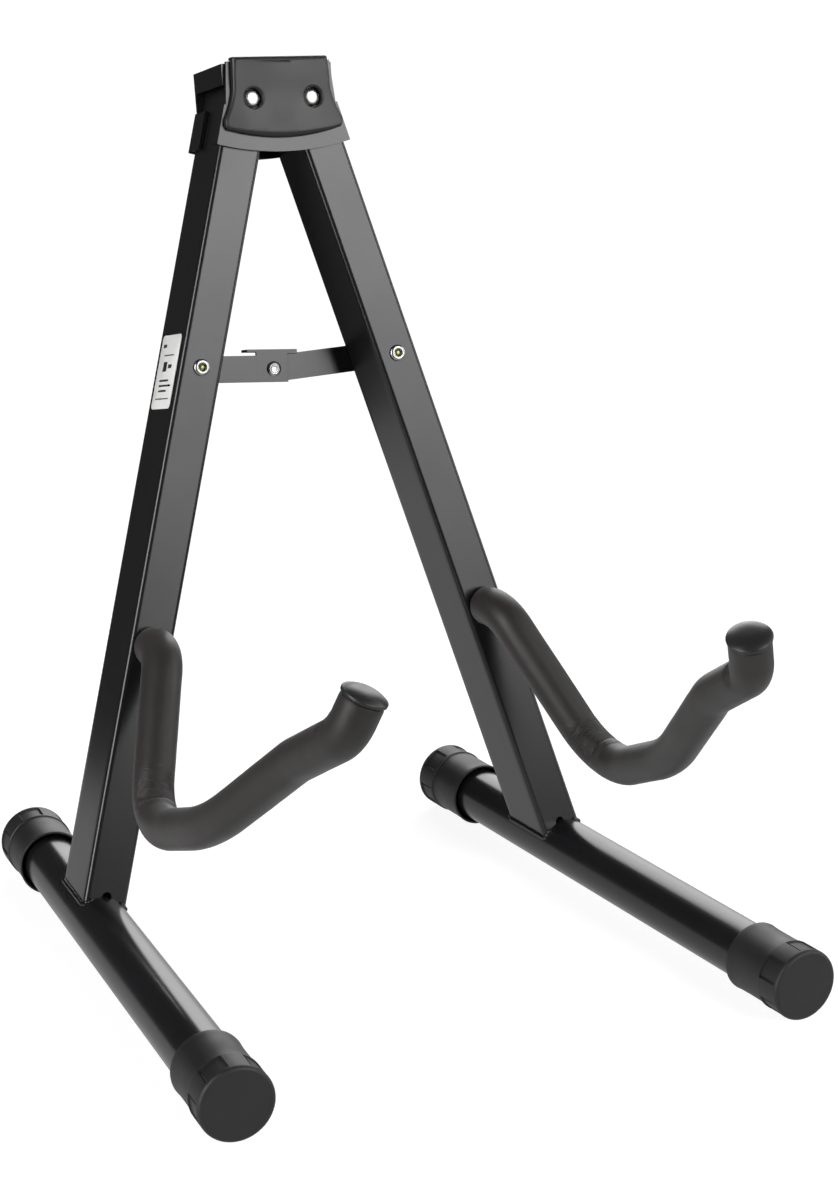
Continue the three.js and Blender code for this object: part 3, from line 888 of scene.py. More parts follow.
@dataclass
class Arm:
    """Bent steel arm with its foam sleeve, domed end cap and root weld."""

    side: Side
    frames: Frames
    rod: float = 4.5
    foam: float = 11.2
    bore: float = 5.2
    around: int = 64
    step: float = 0.15
    lining: float = 2.5
    folds: tuple[Fold, ...] = (
        Fold(1, 9.0, 0.5, 0.12), Fold(2, 30.0, 0.25, 1.0), Fold(5, 13.0, 0.9, 0.6),
    )

    @property
    def body(self) -> str:
        """The body that this arm's pieces ride on."""
        return f"{self.side.word}_leg"

    @property
    def bends(self) -> tuple[Bend, ...]:
        """The arm's bends from weld to tip; the two arms were bent by hand and differ a little."""
        root = (Bend(310.7, 20.0, 0.0), Bend(310.7, 39.1, 0.0, 24.0))
        if self.side is Side.LEFT:
            return root + (
                Bend(406.6, 85.9, -7.6, 44.0), Bend(395.4, 168.6, -8.3, 130.0),
                Bend(352.8, 246.3, -2.9, 50.0), Bend(336.1, 291.4, -0.3, 20.0),
                Bend(317.8, 299.3, 1.4),
            )
        return root + (
            Bend(413.2, 87.7, -7.6, 42.0), Bend(395.3, 171.3, -5.2, 110.0),
            Bend(350.3, 244.5, -1.3, 50.0), Bend(335.4, 288.9, -1.0, 20.0),
            Bend(315.3, 299.6, 0.8),
        )

    @property
    def corners(self) -> list[Vector]:
        """The corners of the arm's path, in the leg's frame."""
        return [Vector((-self.side.value * b.inward, -b.front, -b.down)) for b in self.bends]

    def line(self, start_gap: float, end_gap: float) -> list[Vector]:
        """Finely sampled path, straight between the bends and rounded at each.

        Args:
            start_gap: How far the line starts from the leg's face.
            end_gap: How far short of the last corner it stops.

        Returns:
            The points, one step apart.
        """
        corners = self.corners
        corners[0] += (corners[1] - corners[0]).normalized() * start_gap
        corners[-1] -= (corners[-1] - corners[-2]).normalized() * end_gap
        points = [corners[0]]
        for i in range(1, len(corners) - 1):
            into = (corners[i] - corners[i - 1]).normalized()
            away = (corners[i + 1] - corners[i]).normalized()
            turn = into.angle(away)
            reach = self.bends[i].radius * math.tan(turn / 2)
            handle = 4 / 3 * math.tan(turn / 4) * self.bends[i].radius
            a, d = corners[i] - into * reach, corners[i] + away * reach
            b, c = a + into * handle, d - away * handle
            for step in range(81):
                t = step / 80
                u = 1 - t
                points.append(a * u ** 3 + b * 3 * u * u * t + c * 3 * u * t * t + d * t ** 3)
        points.append(corners[-1])
        clean = [p for p, q in zip(points, points[1:]) if (p - q).length > 1e-6] + [points[-1]]
        return resampled(clean, self.step)

    def framed(self, line: Sequence[Vector]) -> list[PathPoint]:
        """Carries a frame along a line without twisting it, and finds where the line bends.

        Args:
            line: The points.

        Returns:
            The framed points.
        """
        reach = 20
        last = len(line) - 1
        across = Vector((1, 0, 0))
        result = []
        for i, place in enumerate(line):
            along = (line[min(i + 1, last)] - line[max(i - 1, 0)]).normalized()
            across = (across - along * across.dot(along)).normalized()
            before = (line[i] - line[max(i - reach, 0)]).normalized() if i > 2 else along
            after = (line[min(i + reach, last)] - line[i]).normalized() if i < last - 2 else along
            change = after - before
            hollow = change.normalized() if change.length > 1e-4 else Vector((0, 0, 0))
            result.append(PathPoint(place, along, across, i * self.step, hollow))
        return result

    def creases(self, path: Sequence[PathPoint]) -> list[tuple[PathPoint, Fold]]:
        """Finds where the sleeve folds, in the middle of some of its bends.

        Args:
            path: The framed line.

        Returns:
            Each fold and the point of the line that is nearest to its bend.
        """
        found = []
        for fold in self.folds:
            corner = self.corners[fold.bend]
            found.append((min(path, key=lambda p: (p.place - corner).length), fold))
        return found

    @staticmethod
    def crease_depth(point: PathPoint, out: Vector, angle: float, near: PathPoint, fold: Fold
                     ) -> float:
        """How much a fold raises or lowers the foam's skin.

        Args:
            point: The place along the arm.
            out: The direction from the arm's middle.
            angle: The same direction, as an angle around the arm.
            near: The middle of the fold.
            fold: The fold.

        Returns:
            The change of radius, in millimetres.
        """
        centre = near.length
        offset = point.length - centre
        if abs(offset) > fold.before + 12:
            return 0.0
        facing = out.dot(near.hollow)
        skew = offset + 1.2 * noise.noise(Vector((out.x * 2, out.z * 2, centre)))
        groove = math.exp(-(skew / 0.8) ** 2)
        swell = math.exp(-((abs(skew) - 3.4) / 2.4) ** 2)
        crease = smooth_step(facing, 0.15, 0.95) * (0.42 * fold.cut * swell - fold.cut * groove)
        window = smooth_step(offset, -fold.before - 3, -fold.before * 0.55)
        window *= 1 - smooth_step(offset, -2.5, 1.5)
        window += 0.35 * smooth_step(offset, 2.0, 4.0) * (1 - smooth_step(offset, 7.0, 12.0))
        patch = 0.55 + 0.9 * noise.noise(Vector((point.length / 5, angle * 1.4, centre)))
        shift = noise.noise(Vector((angle * 1.8, point.length / 4, centre)))
        phase = point.length / 1.55 + 0.55 * shift
        valley = (0.5 + 0.5 * math.cos(FULL_TURN * phase)) ** 2
        wide = smooth_step(facing, -0.45, 0.55)
        return crease - fold.gather * wide * window * max(patch, 0.0) * valley

    @staticmethod
    def round_points(point: PathPoint, radius: float, count: int) -> list[Vector]:
        """Points of a circle around a place on the arm's path.

        Args:
            point: The place.
            radius: The circle's radius.
            count: How many points it has.

        Returns:
            The points.
        """
        second = point.along.cross(point.across)
        angles = (FULL_TURN * step / count for step in range(count))
        return [point.place + (point.across * math.cos(a) + second * math.sin(a)) * radius
                for a in angles]

    def skin(self, point: PathPoint, end: float, folds: Sequence[tuple[PathPoint, Fold]]
             ) -> list[Vector]:
        """Points around the foam's outside at one place.

        Args:
            point: The place along the arm.
            end: The distance to the nearer end of the sleeve.
            folds: The folds.

        Returns:
            The points.
        """
        second = point.along.cross(point.across)
        edge = 1.6
        rim = self.foam - edge + math.sqrt(max(edge ** 2 - (edge - min(end, edge)) ** 2, 0.0))
        drift = noise.noise(Vector((point.length / 60, 3.0 * self.side.value, 0.0)))
        ring = []
        for step in range(self.around):
            angle = FULL_TURN * step / self.around
            out = point.across * math.cos(angle) + second * math.sin(angle)
            spot = Vector((out.x * 1.5, out.z * 1.5, point.length / 9)) + Vector((0, 0, 40))
            radius = rim + 0.12 * drift + 0.09 * noise.noise(spot)
            for near, fold in folds:
                radius += self.crease_depth(point, out, angle, near, fold)
            ring.append(point.place + out * min(radius, self.foam + 0.6))
        return ring

    def sleeve(self) -> None:
        """Builds the foam sleeve: gathered on the hollow side of its bends and folded in the middle."""
        path = self.framed(self.line(1.5, 0.4))
        folds = self.creases(path)
        last = len(path) - 1
        total = path[-1].length
        draft = Draft()
        outer, bores = [], []
        lined = 0.0
        i = 0
        while True:
            point = path[i]
            end = min(point.length, total - point.length)
            outer.append(draft.ring(self.skin(point, end, folds)))
            if end < self.lining or point.length - lined > self.lining or i == last:
                bores.append(draft.ring(self.round_points(point, self.bore, self.around)))
                lined = point.length
            if i == last:
                break
            near_fold = any(
                -fold.before - 4 < point.length - near.length < 13 for near, fold in folds
            )
            stride = 1 if end < 2 else (2 if near_fold else 12)
            i = min(i + stride, last)
        for a, b in list(zip(outer, outer[1:])) + list(zip(bores, bores[1:])):
            draft.bridge(a, b)
        draft.bridge(outer[0], bores[0])
        draft.bridge(outer[-1], bores[-1])
        made = draft.build(f"{self.side.word}_arm_sleeve", self.frames.leg(self.side), 70.0)
        hang(made, self.body, SLEEVE_FOAM, f"{self.side.word}_arm_foam")

    def steel(self) -> None:
        """Builds the rod and the weld bead that holds it to the leg."""
        path = self.framed(self.line(0.3, -1.6))
        draft = Draft()
        every = path[::12] + [path[-1]]
        rings = [draft.ring(self.round_points(point, self.rod, 32)) for point in every]
        for a, b in zip(rings, rings[1:]):
            draft.bridge(a, b)
        draft.fan(rings[0], path[0].place)
        draft.fan(rings[-1], path[-1].place)
        place = self.frames.leg(self.side)
        hang(draft.build(f"{self.side.word}_arm_bar", place), self.body, POWDER_COAT,
             f"{self.side.word}_arm_rod")
        centre = Vector((0, -self.bends[0].front - 0.2, -self.bends[0].down))
        circle = [centre + Vector((math.cos(a), 0, math.sin(a))) * (self.rod + 0.3)
                  for a in (FULL_TURN * s / 48 for s in range(49))]
        bead = swept_bead(circle, 0.8, 1.6, seed=5.0 * self.side.value)
        hang(bead.build(f"{self.side.word}_arm_weld", place, 80.0), self.body, POWDER_COAT)

    def end_cap(self) -> None:
        """Moulds the domed cap pushed over the arm's tip."""
        line = self.line(1.5, 0.4)
        along = (line[-1] - line[-2]).normalized()
        profile = [(1.2, 4.6), (3.5, 4.52), (6.0, 4.2), (8.2, 3.6), (9.8, 2.9)]
        profile += arc((10.75, 1.1), 1.15, 50, -20, 6)
        profile += [(11.75, 0.15), (11.5, 0.0), (self.bore, 0.0), (self.bore, 2.0), (1.0, 2.0)]
        draft = turned(profile, 72)
        place = Matrix.Translation(line[-1] + along * 0.3)
        place = place @ Vector((0, 1, 0)).rotation_difference(along).to_matrix().to_4x4()
        made = draft.build(f"{self.side.word}_arm_cap", self.frames.leg(self.side) @ place)
        hang(made, self.body, CAP_PLASTIC, f"{self.side.word}_arm_end_cap")

    def make(self) -> None:
        """Builds and dresses the whole arm."""
        self.steel()
        self.sleeve()
        self.end_cap()


# ------------------------------------------------------------------ rivets
@dataclass
class Rivets:
    """The stand's hollow and solid rivets."""

    frames: Frames
    leg_depth: float = 40.0
    gap: float = 0.3
    plate_face: float = 22.4
    pivot_head: float = 5.2
    shank: float = 3.0
    bore: float = 1.9
    link_front: float = 20.4
    link_back: float = 22.0
    both_links_back: float = 23.9

    def pivots(self) -> None:
        """Turns the two solid rivets of the head, domed at both ends."""
        seat = self.plate_face + self.gap
        head, shank = self.pivot_head, self.shank
        front = [
            (0.9, -seat - 1.7), (2.2, -seat - 1.66), (3.5, -seat - 1.48), (4.5, -seat - 1.1),
            (5.0, -seat - 0.65), (head, -seat - 0.25), (head - 0.05, -seat), (shank, -seat),
        ]
        profile = front + [(radius, -y) for radius, y in reversed(front)]
        for side in Side:
            offset = (side.value * self.frames.half_spacing, 0, 0)
            place = self.frames.head @ Matrix.Translation(offset)
            made = turned(profile, 64).build(f"{side.word}_pivot", place)
            hang(made, "head", BRIGHT_ZINC, f"{side.word}_pivot_rivet")

    def brace_rivets(self) -> None:
        """Turns the hollow rivet of each leg, with the yellow core seen down its bore."""
        front = -self.leg_depth / 2 - self.gap
        for side in Side:
            back = self.link_back + self.gap if side is Side.LEFT else self.leg_depth / 2
            profile = [
                (self.bore, front - 0.6), (self.bore + 0.2, front - 1.1),
                (self.bore + 0.8, front - 1.38), (3.3, front - 1.4), (4.0, front - 1.25),
                (4.5, front - 0.9), (4.7, front - 0.4), (4.65, front), (self.shank, front),
                (self.shank, back),
            ]
            if side is Side.LEFT:
                profile += [(4.6, back), (4.6, back + 0.7), (3.6, back + 1.2)]
                profile.append((self.bore, back + 1.2))
            else:
                profile.append((self.bore, back))
            place = self.frames.leg(side) @ Matrix.Translation((0, 0, -self.frames.from_pivot))
            made = turned(profile, 56, ring=True).build(f"{side.word}_brace_eyelet", place)
            hang(made, f"{side.word}_leg", BRIGHT_ZINC, f"{side.word}_brace_rivet")
            core = [
                (0.5, front - 0.95), (1.1, front - 0.9), (1.5, front - 0.6), (1.6, front - 0.2),
                (1.6, front + 6),
            ]
            made = turned(core, 32).build(f"{side.word}_brace_core", place)
            hang(made, f"{side.word}_leg", YELLOW_ZINC)

    def tail(self) -> None:
        """Turns the formed end of the right leg's rivet, outside the right link."""
        seat = self.link_back + self.gap
        profile = [
            (self.bore, self.link_front), (self.shank, self.link_front), (self.shank, seat),
            (4.6, seat), (4.6, seat + 0.5), (4.2, seat + 0.95), (3.6, seat + 1.2),
            (self.bore + 0.3, seat + 1.2), (self.bore, seat + 0.9),
        ]
        offset = self.frames.brace_pivot
        place = self.frames.head @ Matrix.Translation((-offset.x, 0, offset.z))
        made = turned(profile, 48, ring=True).build("right_brace_tail", place)
        hang(made, "right_link", BRIGHT_ZINC, "right_brace_rivet_tail")

    def middle(self) -> None:
        """Turns the rivet that joins the two links, with its small centre mark."""
        front = self.link_front - self.gap
        rear = self.both_links_back + self.gap
        profile = [
            (0.5, front - 0.7), (1.2, front - 0.75), (1.6, front - 1.25), (2.1, front - 1.3),
            (2.5, front - 0.95), (2.9, front - 0.9), (3.3, front - 1.1), (3.9, front - 0.85),
            (4.3, front - 0.3), (4.3, front), (2.5, front), (2.5, rear), (4.3, rear),
            (4.3, rear + 0.4), (3.9, rear + 0.9), (2.8, rear + 1.2), (0.8, rear + 1.3),
        ]
        place = self.frames.head @ Matrix.Translation((0, 0, self.frames.middle_pivot.z))
        made = turned(profile, 56).build("middle_rivet", place)
        hang(made, "left_link", BRIGHT_ZINC, "brace_middle_rivet")

    def make(self) -> None:
        """Turns all the rivets."""
        self.pivots()
        self.brace_rivets()
        self.tail()
        self.middle()


# ------------------------------------------------------------------ head and brace
@dataclass
class HeadBracket:
    """Pressed steel bracket with its moulded pad."""

    frames: Frames
    inner: float = 20.4
    sheet: float = 2.0
    gap: float = 0.3
    pad_thickness: float = 4.8
    pad_top: float = 23.0
    hole: float = 5.75
    saddle: float = 0.8
    crown: float = 0.9
    edge_round: float = 1.6
    rim_lines: tuple[float, ...] = (0.0, 0.1, 0.3, 0.6, 1.0, 1.4, 1.9, 2.6)
    hole_lines: tuple[float, ...] = (0.0, 0.1, 0.3, 0.6, 0.9, 1.3, 2.0)
    hole_steps: int = 48

    def plates(self) -> None:
        """Copies the bracket's two pressings with rounded bends and edges."""
        face = self.inner + self.sheet

        def is_bend(middle: Vector, direction: Vector) -> bool:
            """Says whether an edge lies on a fold of the sheet.

            Args:
                middle: The edge's middle.
                direction: The way that it runs.

            Returns:
                Whether it is a fold.
            """
            folded = abs(abs(middle.y) - face) < 0.15
            outside = abs(middle.x) > 31.0 or abs(middle.z - 19.9) < 0.1
            straight = abs(direction.y) < 0.2
            low = middle.z < -24.0 and abs(direction.x) > 0.8
            return folded and outside and straight and not low

        for node, name in (("bracket_front_plate", "head_front_plate"),
                           ("bracket_rear_shell", "head_rear_shell")):
            made = softened(node, name, self.frames.head, 0.3, 1.6, is_bend)
            hang(made, "head", POWDER_COAT, node)

    def pad_outline(self) -> list[Flat]:
        """Points around the pad, from the top right corner down and round to the left."""
        def curve(a: Flat, b: Flat, c: Flat) -> list[Flat]:
            """Points of a quadratic curve, its first point left out.

            Args:
                a: Where it starts.
                b: The point that it bends towards.
                c: Where it ends.

            Returns:
                The points.
            """
            out = []
            for t in (i / 12 for i in range(1, 13)):
                u = 1 - t
                out.append(tuple(a[k] * u * u + 2 * b[k] * u * t + c[k] * t * t for k in (0, 1)))
            return out

        waist, flare, low = (29.8, 5.0), (35.2, -10.0), (34.3, -17.0)
        right = [(29.2 - 1.2, 23.0)] + arc((28.0, 21.8), 1.2, 90, 0, 4)[1:]
        right += [(29.2 + 0.6 * (21.8 - z) / 17, z) for z in (18.0, 14.0, 10.0, 7.0)]
        right += [waist] + curve(waist, (31.2, -3.0), flare) + curve(flare, (37.2, -14.0), low)
        sagitta = 4.9
        radius = (low[0] ** 2 + sagitta ** 2) / (2 * sagitta)
        sweep = math.degrees(math.asin(low[0] / radius))
        bow = arc((0, low[1] - sagitta + radius), radius, 270 + sweep, 270 - sweep, 40)[1:-1]
        left = [(-x, z) for x, z in reversed(right)]
        return right + bow + left

    @property
    def hole_centres(self) -> list[Vector]:
        """The middles of the pad's holes, on its face."""
        return [Vector((side * self.frames.half_spacing, 0)) for side in (-1, 1)]

    def clean_outline(self) -> list[Vector]:
        """The pad's outline, run counter-clockwise and rid of doubled points."""
        outline = [Vector(p) for p in self.pad_outline()]
        area = sum(a.x * b.y - b.x * a.y for a, b in zip(outline, outline[1:] + outline[:1]))
        if area < 0:
            outline.reverse()
        return [p for p, q in zip(outline, outline[1:] + outline[:1]) if (p - q).length > 0.05]

    def pad_plan(self, outline: Sequence[Vector]) -> tuple[list[Vector], list[Sequence[int]]]:
        """Divides the pad's face into triangles, close together at its rim and its holes.

        Args:
            outline: The pad's outline.

        Returns:
            The flat points, and the triangles as numbers of points.
        """
        count = len(outline)
        normals = []
        for i in range(count):
            run = outline[(i + 1) % count] - outline[i - 1]
            normals.append(Vector((-run.y, run.x)).normalized())
        points, edges = [], []
        for inset in self.rim_lines:
            first = len(points)
            points += [p + n * inset for p, n in zip(outline, normals)]
            edges += [(first + i, first + (i + 1) % count) for i in range(count)]
        steps = self.hole_steps
        for side in (-1, 1):
            for grow in self.hole_lines:
                first = len(points)
                middle = (side * self.frames.half_spacing, 0.0)
                circle = arc(middle, self.hole + grow, 0, 360, steps)[:-1]
                points += [Vector(p) for p in circle]
                edges += [(first + i, first + (i + 1) % steps) for i in range(steps)]
        centres = self.hole_centres
        for row in range(-20, 22, 2):
            for column in range(-34, 35, 2):
                spot = Vector((column + 0.013 * row, row + 0.017 * column))
                rim = min((spot - p).length for p in outline)
                hole = min((spot - c).length for c in centres) - self.hole
                if rim > 3.2 and hole > 2.6 and _inside(spot, outline):
                    points.append(spot)
        verts, _, faces, *_ = delaunay_2d_cdt(points, edges, [], 1, 1e-5)
        kept = []
        for face in faces:
            middle = sum((verts[i] for i in face), Vector((0, 0))) / len(face)
            if all((middle - c).length > self.hole - 0.02 for c in centres) and _inside(middle, outline):
                kept.append(tuple(face))
        return verts, kept

    def pad(self) -> None:
        """Moulds the pad: rounded rim, filleted holes, a shallow saddle and the lip at the top."""
        outline = self.clean_outline()
        verts, kept = self.pad_plan(outline)
        back = -self.inner - self.sheet - self.gap
        draft = Draft()
        fronts = draft.ring([Vector((v.x, back - self.relief(v, outline), v.y)) for v in verts])
        backs = draft.ring([Vector((v.x, back, v.y)) for v in verts])
        seen: dict[tuple[int, int], int] = {}
        for face in kept:
            draft.faces.append(tuple(fronts[i] for i in face))
            draft.faces.append(tuple(backs[i] for i in reversed(face)))
            for i, j in zip(face, face[1:] + face[:1]):
                seen[(min(i, j), max(i, j))] = seen.get((min(i, j), max(i, j)), 0) + 1
        for (i, j), times in seen.items():
            if times == 1:
                draft.faces.append((fronts[i], fronts[j], backs[j], backs[i]))
        self.lip(draft, back)
        made = draft.build("pad_moulding", self.frames.head, 50.0)
        work = bmesh.new()
        work.from_mesh(made.data)
        loose = [v for v in work.verts if not v.link_faces]
        bmesh.ops.delete(work, geom=loose, context="VERTS")
        work.to_mesh(made.data)
        work.free()
        shade(made, 50.0)
        hang(made, "head", PAD_RUBBER, "head_pad")

    def relief(self, spot: Vector, outline: Sequence[Vector]) -> float:
        """Thickness of the pad at a place on its face.

        Args:
            spot: The place.
            outline: The pad's outline.

        Returns:
            The thickness, in millimetres.
        """
        rim = min(_gap(spot, a, b) for a, b in zip(outline, list(outline[1:]) + [outline[0]]))
        hole = min((spot - c).length for c in self.hole_centres) - self.hole
        low_edge = 1 - smooth_step(spot.y, -21.0, -15.0)
        radius = self.edge_round + 0.9 * smooth_step(spot.y, 14.0, 22.0) + 1.7 * low_edge
        fall = radius - math.sqrt(max(radius ** 2 - max(radius - rim, 0.0) ** 2, 0.0))
        well = 0.9 - math.sqrt(max(0.9 ** 2 - max(0.9 - hole, 0.0) ** 2, 0.0))
        bow = (spot.y + 1.0) / 22.0
        dip = self.saddle * math.exp(-(bow / 0.55) ** 2) + self.crown * (spot.x / 30) ** 2
        return self.pad_thickness - fall - min(well, 0.9) - dip

    def lip(self, draft: Draft, back: float) -> None:
        """Adds the lip that hooks back over the front plate's top edge.

        Args:
            draft: The pad's drawing.
            back: The Y of the pad's back.
        """
        far = -self.inner - self.sheet + 3.0
        low, high, half = self.pad_top - 1.7, self.pad_top - 0.02, 28.9
        section = [(back - 1.2, low), (far - 0.3, low), (far, low + 0.4)]
        section += arc((far - 0.9, high - 0.9), 0.9, 0, 90, 5) + [(back - 1.2, high)]
        rings = []
        middle = (low + high) / 2
        ends = ((-half, 0.5), (-half + 0.15, 0.2), (-half + 0.6, 0.0))
        for x, shrink in ends + tuple((-x, shrink) for x, shrink in reversed(ends)):
            rings.append(draft.ring([
                Vector((x, y - shrink * (y > back), middle + (z - middle) * (1 - shrink * 0.5)))
                for y, z in section
            ]))
        for a, b in zip(rings, rings[1:]):
            draft.bridge(a, b)
        draft.faces += [tuple(rings[0]), tuple(rings[-1])]

    def make(self) -> None:
        """Builds and dresses the head."""
        self.plates()
        self.pad()


def _inside(spot: Vector, outline: Sequence[Vector]) -> bool:
    """Says whether a flat place lies inside a closed outline.

    Args:
        spot: The place.
        outline: The outline's points.

    Returns:
        Whether it lies inside.
    """
    crossings = False
    for a, b in zip(outline, list(outline[1:]) + [outline[0]]):
        if (a.y > spot.y) != (b.y > spot.y):
            crossings ^= spot.x < (b.x - a.x) * (spot.y - a.y) / (b.y - a.y) + a.x
    return crossings


def _gap(spot: Vector, a: Vector, b: Vector) -> float:
    """Distance from a flat place to the stretch between two others.

    Args:
        spot: The place.
        a: One end of the stretch.
        b: Its other end.

    Returns:
        The distance.
    """
    run = b - a
    share = min(max((spot - a).dot(run) / max(run.length_squared, 1e-9), 0.0), 1.0)
    return (spot - a - run * share).length


@dataclass
class Brace:
    """The two flat links that stop the legs from spreading."""

    frames: Frames
    cut_edge: float = 0.28
    bend: float = 1.2

    def make(self) -> None:
        """Copies both links with rounded edges and bends."""
        for node, name, body in (("left_brace_link", "left_link_bar", "left_link"),
                                 ("right_brace_link", "right_link_bar", "right_link")):
            place = self.frames.head
            made = softened(node, name, place, self.cut_edge, self.bend, self.is_bend)
            hang(made, body, POWDER_COAT, node)

    @staticmethod
    def is_bend(middle: Vector, direction: Vector) -> bool:
        """Says whether an edge lies across a step of the right link."""
        return abs(direction.y) < 0.1 and 25.0 < middle.x < 45.0 and abs(direction.z) > 0.9


# ------------------------------------------------------------------ studio
@dataclass
class Studio:
    """Pale floor, backdrop, softboxes and the camera."""

    floor_radius: float = 0.7
    floor_steps: int = 96
    aim_height: float = 0.25
    wall_distance: float = 6.0
    wall_size: float = 14.0

    def surface(self, name: str, code: str, low: float, high: float, paper: bool = False
                ) -> bpy.types.Material:
        """Makes a studio surface that glows, evenly or brighter towards its top.

        Args:
            name: The material's name.
            code: Its colour.
            low: Its light at the bottom edge.
            high: Its light at the top edge.
            paper: Whether it also reflects the lamps, as paper does.

        Returns:
            The material.
        """
        material = bpy.data.materials.new(name)
        material.use_nodes = True
        tree = material.node_tree
        tree.nodes.clear()
        glow = add_node(tree, "ShaderNodeEmission", Color=linear(code), Strength=low)
        out = glow.outputs["Emission"]
        if high != low:
            place = add_node(tree, "ShaderNodeTexCoord").outputs["UV"]
            up = add_node(tree, "ShaderNodeSeparateXYZ", Vector=place).outputs["Y"]
            fade = add_node(tree, "ShaderNodeMapRange", Value=up, To_Min=low, To_Max=high)
            tree.links.new(fade.outputs["Result"], glow.inputs["Strength"])
        if paper:
            matt = add_node(tree, "ShaderNodeBsdfDiffuse", Color=linear(code)).outputs["BSDF"]
            out = add_node(tree, "ShaderNodeAddShader", i0=out, i1=matt).outputs["Shader"]
        add_node(tree, "ShaderNodeOutputMaterial", Surface=out)
        return material

    def sheet(self, name: str, width: float, height: float, place: Matrix,
              material: bpy.types.Material) -> bpy.types.Object:
        """Hangs a flat sheet.

        Args:
            name: Its name.
            width: Its size along its X, in metres.
            height: Its size along its Y, in metres.
            place: Its frame.
            material: Its surface.

        Returns:
            The sheet.
        """
        mesh = bpy.data.meshes.new(name)
        w, d = width / 2, height / 2
        corners = [place @ Vector(c) for c in ((-w, -d, 0), (w, -d, 0), (w, d, 0), (-w, d, 0))]
        mesh.from_pydata(corners, [], [(0, 1, 2, 3)])
        spread = mesh.uv_layers.new(name="spread")
        for loop, spot in zip(spread.data, ((0, 0), (1, 0), (1, 1), (0, 1))):
            loop.uv = spot
        mesh.materials.append(material)
        made = bpy.data.objects.new(name, mesh)
        bpy.context.scene.collection.objects.link(made)
        return made

    def softbox(self, name: str, azimuth: float, elevation: float, distance: float,
                size: tuple[float, float], low: float, high: float) -> None:
        """Hangs a softbox that faces the stand.

        Args:
            name: Its name.
            azimuth: The direction to it from behind the stand, in degrees, to the right positive.
            elevation: Its height over the horizon, in degrees.
            distance: How far off it is, in metres.
            size: Its width and height, in metres.
            low: Its light at the bottom edge.
            high: Its light at the top edge.
        """
        a, e = math.radians(azimuth), math.radians(elevation)
        way = Vector((math.sin(a) * math.cos(e), math.cos(a) * math.cos(e), math.sin(e)))
        side = Vector((-math.cos(a), math.sin(a), 0))
        up = way.cross(side)
        up = up if up.z > 0 else -up
        turn = Matrix((side, up, side.cross(up))).transposed().to_4x4()
        place = Matrix.Translation(Vector((0, 0, self.aim_height)) + way * distance) @ turn
        material = self.surface(name, "#ffffff", low, high)
        made = self.sheet(name, size[0], size[1], place, material)
        made.visible_camera = False
        made.visible_shadow = False

    def disc(self, name: str, height: float, material: bpy.types.Material) -> bpy.types.Object:
        """Lays a round sheet.

        Args:
            name: Its name.
            height: Its height, in metres.
            material: Its surface.

        Returns:
            The sheet.
        """
        mesh = bpy.data.meshes.new(name)
        rim = arc((0.0, 0.0), self.floor_radius, 0, 360, self.floor_steps)[:-1]
        mesh.from_pydata([(x, y, height) for x, y in rim], [], [tuple(range(self.floor_steps))])
        mesh.materials.append(material)
        made = bpy.data.objects.new(name, mesh)
        bpy.context.scene.collection.objects.link(made)
        return made

    def floor(self) -> None:
        """Lays the white floor and surround for the camera, and the dimmer card for reflections."""
        white = self.surface("studio_paper", "#8c8c8c", 3.4, 3.4, paper=True)
        paper = self.disc("studio_floor", 0.0, white)
        paper.visible_glossy = False
        paper.visible_diffuse = False
        card = self.surface("studio_card", "#ffffff", 0.62, 0.62)
        bounce = self.disc("studio_bounce", -0.001, card)
        bounce.visible_camera = False
        bounce.visible_shadow = False
        glow = self.surface("studio_surround", "#ffffff", 1.05, 1.05)
        upright = Matrix.Rotation(math.radians(90), 4, "X")
        upright = Matrix.Translation((0, self.wall_distance, 0)) @ upright
        places = {"studio_far_floor": Matrix.Translation((0, 0, -0.002))}
        for turn in (0, 90, 180, 270):
            places[f"studio_wall_{turn}"] = Matrix.Rotation(math.radians(turn), 4, "Z") @ upright
        for name, place in places.items():
            far = self.sheet(name, self.wall_size, self.wall_size, place, glow)
            far.visible_glossy = False
            far.visible_diffuse = False
            far.visible_shadow = False

    def world(self, brightness: float) -> None:
        """Sets the even light of the room.

        Args:
            brightness: Its strength.
        """
        world = bpy.data.worlds.new("studio_room")
        world.use_nodes = True
        background = world.node_tree.nodes["Background"]
        background.inputs["Color"].default_value = linear("#ffffff")
        background.inputs["Strength"].default_value = brightness
        bpy.context.scene.world = world

    def camera(self) -> None:
        """Sets the camera in front, to the left and a little above."""
        data = bpy.data.cameras.new("studio_camera")
        data.sensor_width = 36.0
        data.lens = 77.26
        data.shift_x = -0.0049
        data.shift_y = 0.0044
        made = bpy.data.objects.new("studio_camera", data)
        pan, tilt, roll = [math.radians(angle) for angle in (-26.97, 90 - 16.02, 1.0)]
        turn = Matrix.Rotation(pan, 4, "Z") @ Matrix.Rotation(tilt, 4, "X")
        turn = turn @ Matrix.Rotation(roll, 4, "Z")
        made.matrix_world = Matrix.Translation((-0.5889, -1.1990, 0.5855)) @ turn
        bpy.context.scene.collection.objects.link(made)
        bpy.context.scene.camera = made

    def make(self) -> None:
        """Sets up the whole studio."""
        self.floor()
        self.softbox("key_softbox", 152.0, 17.0, 2.2, (1.1, 1.7), 0.5, 10.0)
        self.softbox("rear_softbox", 29.0, 17.0, 2.2, (1.75, 2.1), 1.1, 5.6)
        self.softbox("left_softbox", -105.0, 12.0, 1.9, (0.9, 1.6), 6.5, 9.0)
        self.softbox("right_softbox", 100.0, 14.0, 1.9, (0.8, 1.5), 2.5, 3.5)
        self.world(0.05)
        self.camera()
        bpy.context.scene.view_settings.view_transform = "Standard"


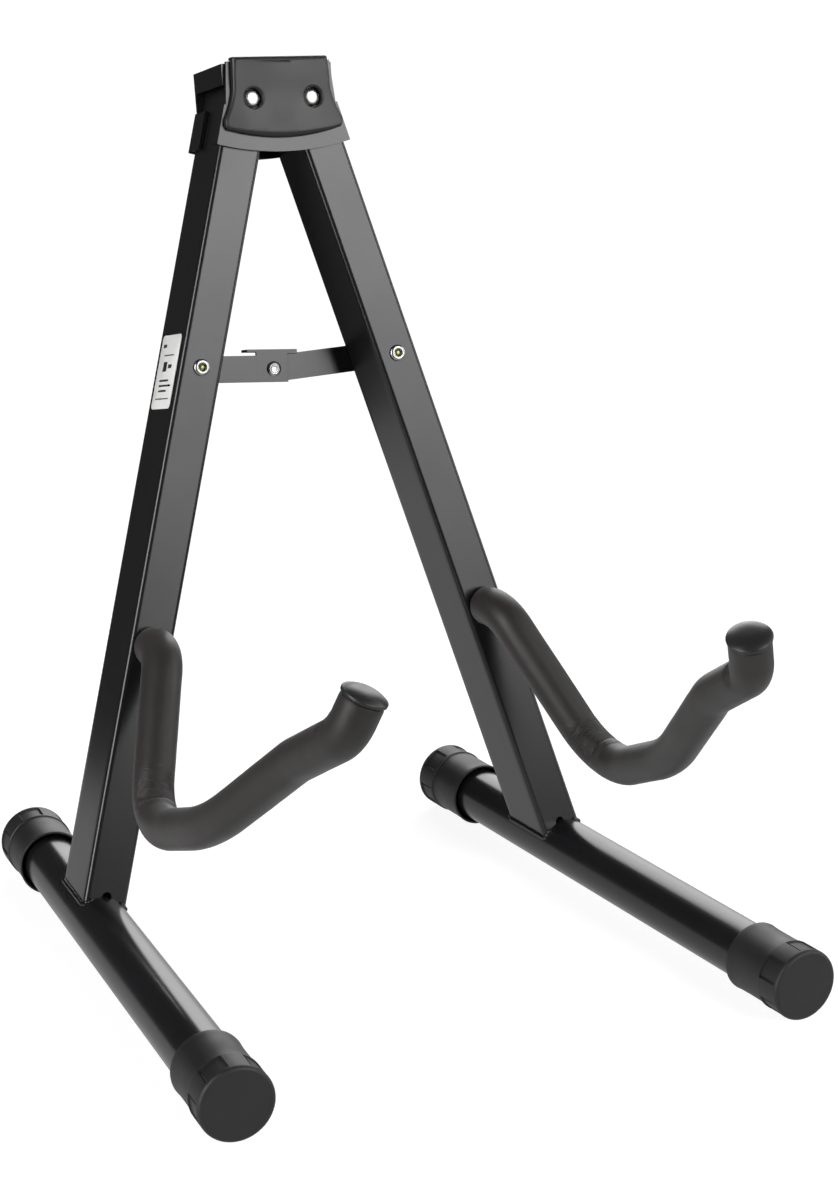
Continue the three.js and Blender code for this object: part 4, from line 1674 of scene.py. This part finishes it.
def main() -> None:
    """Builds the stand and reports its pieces."""
    logging.basicConfig(level=logging.INFO, format="%(name)s %(message)s")
    frames = Frames(frame["joints"])
    HeadBracket(frames).make()
    for side in Side:
        Leg(side, frames).make()
        Foot(side, frames).make()
        Arm(side, frames).make()
    Brace(frames).make()
    Rivets(frames).make()
    Studio().make()


if __name__ == "__main__":
    main()
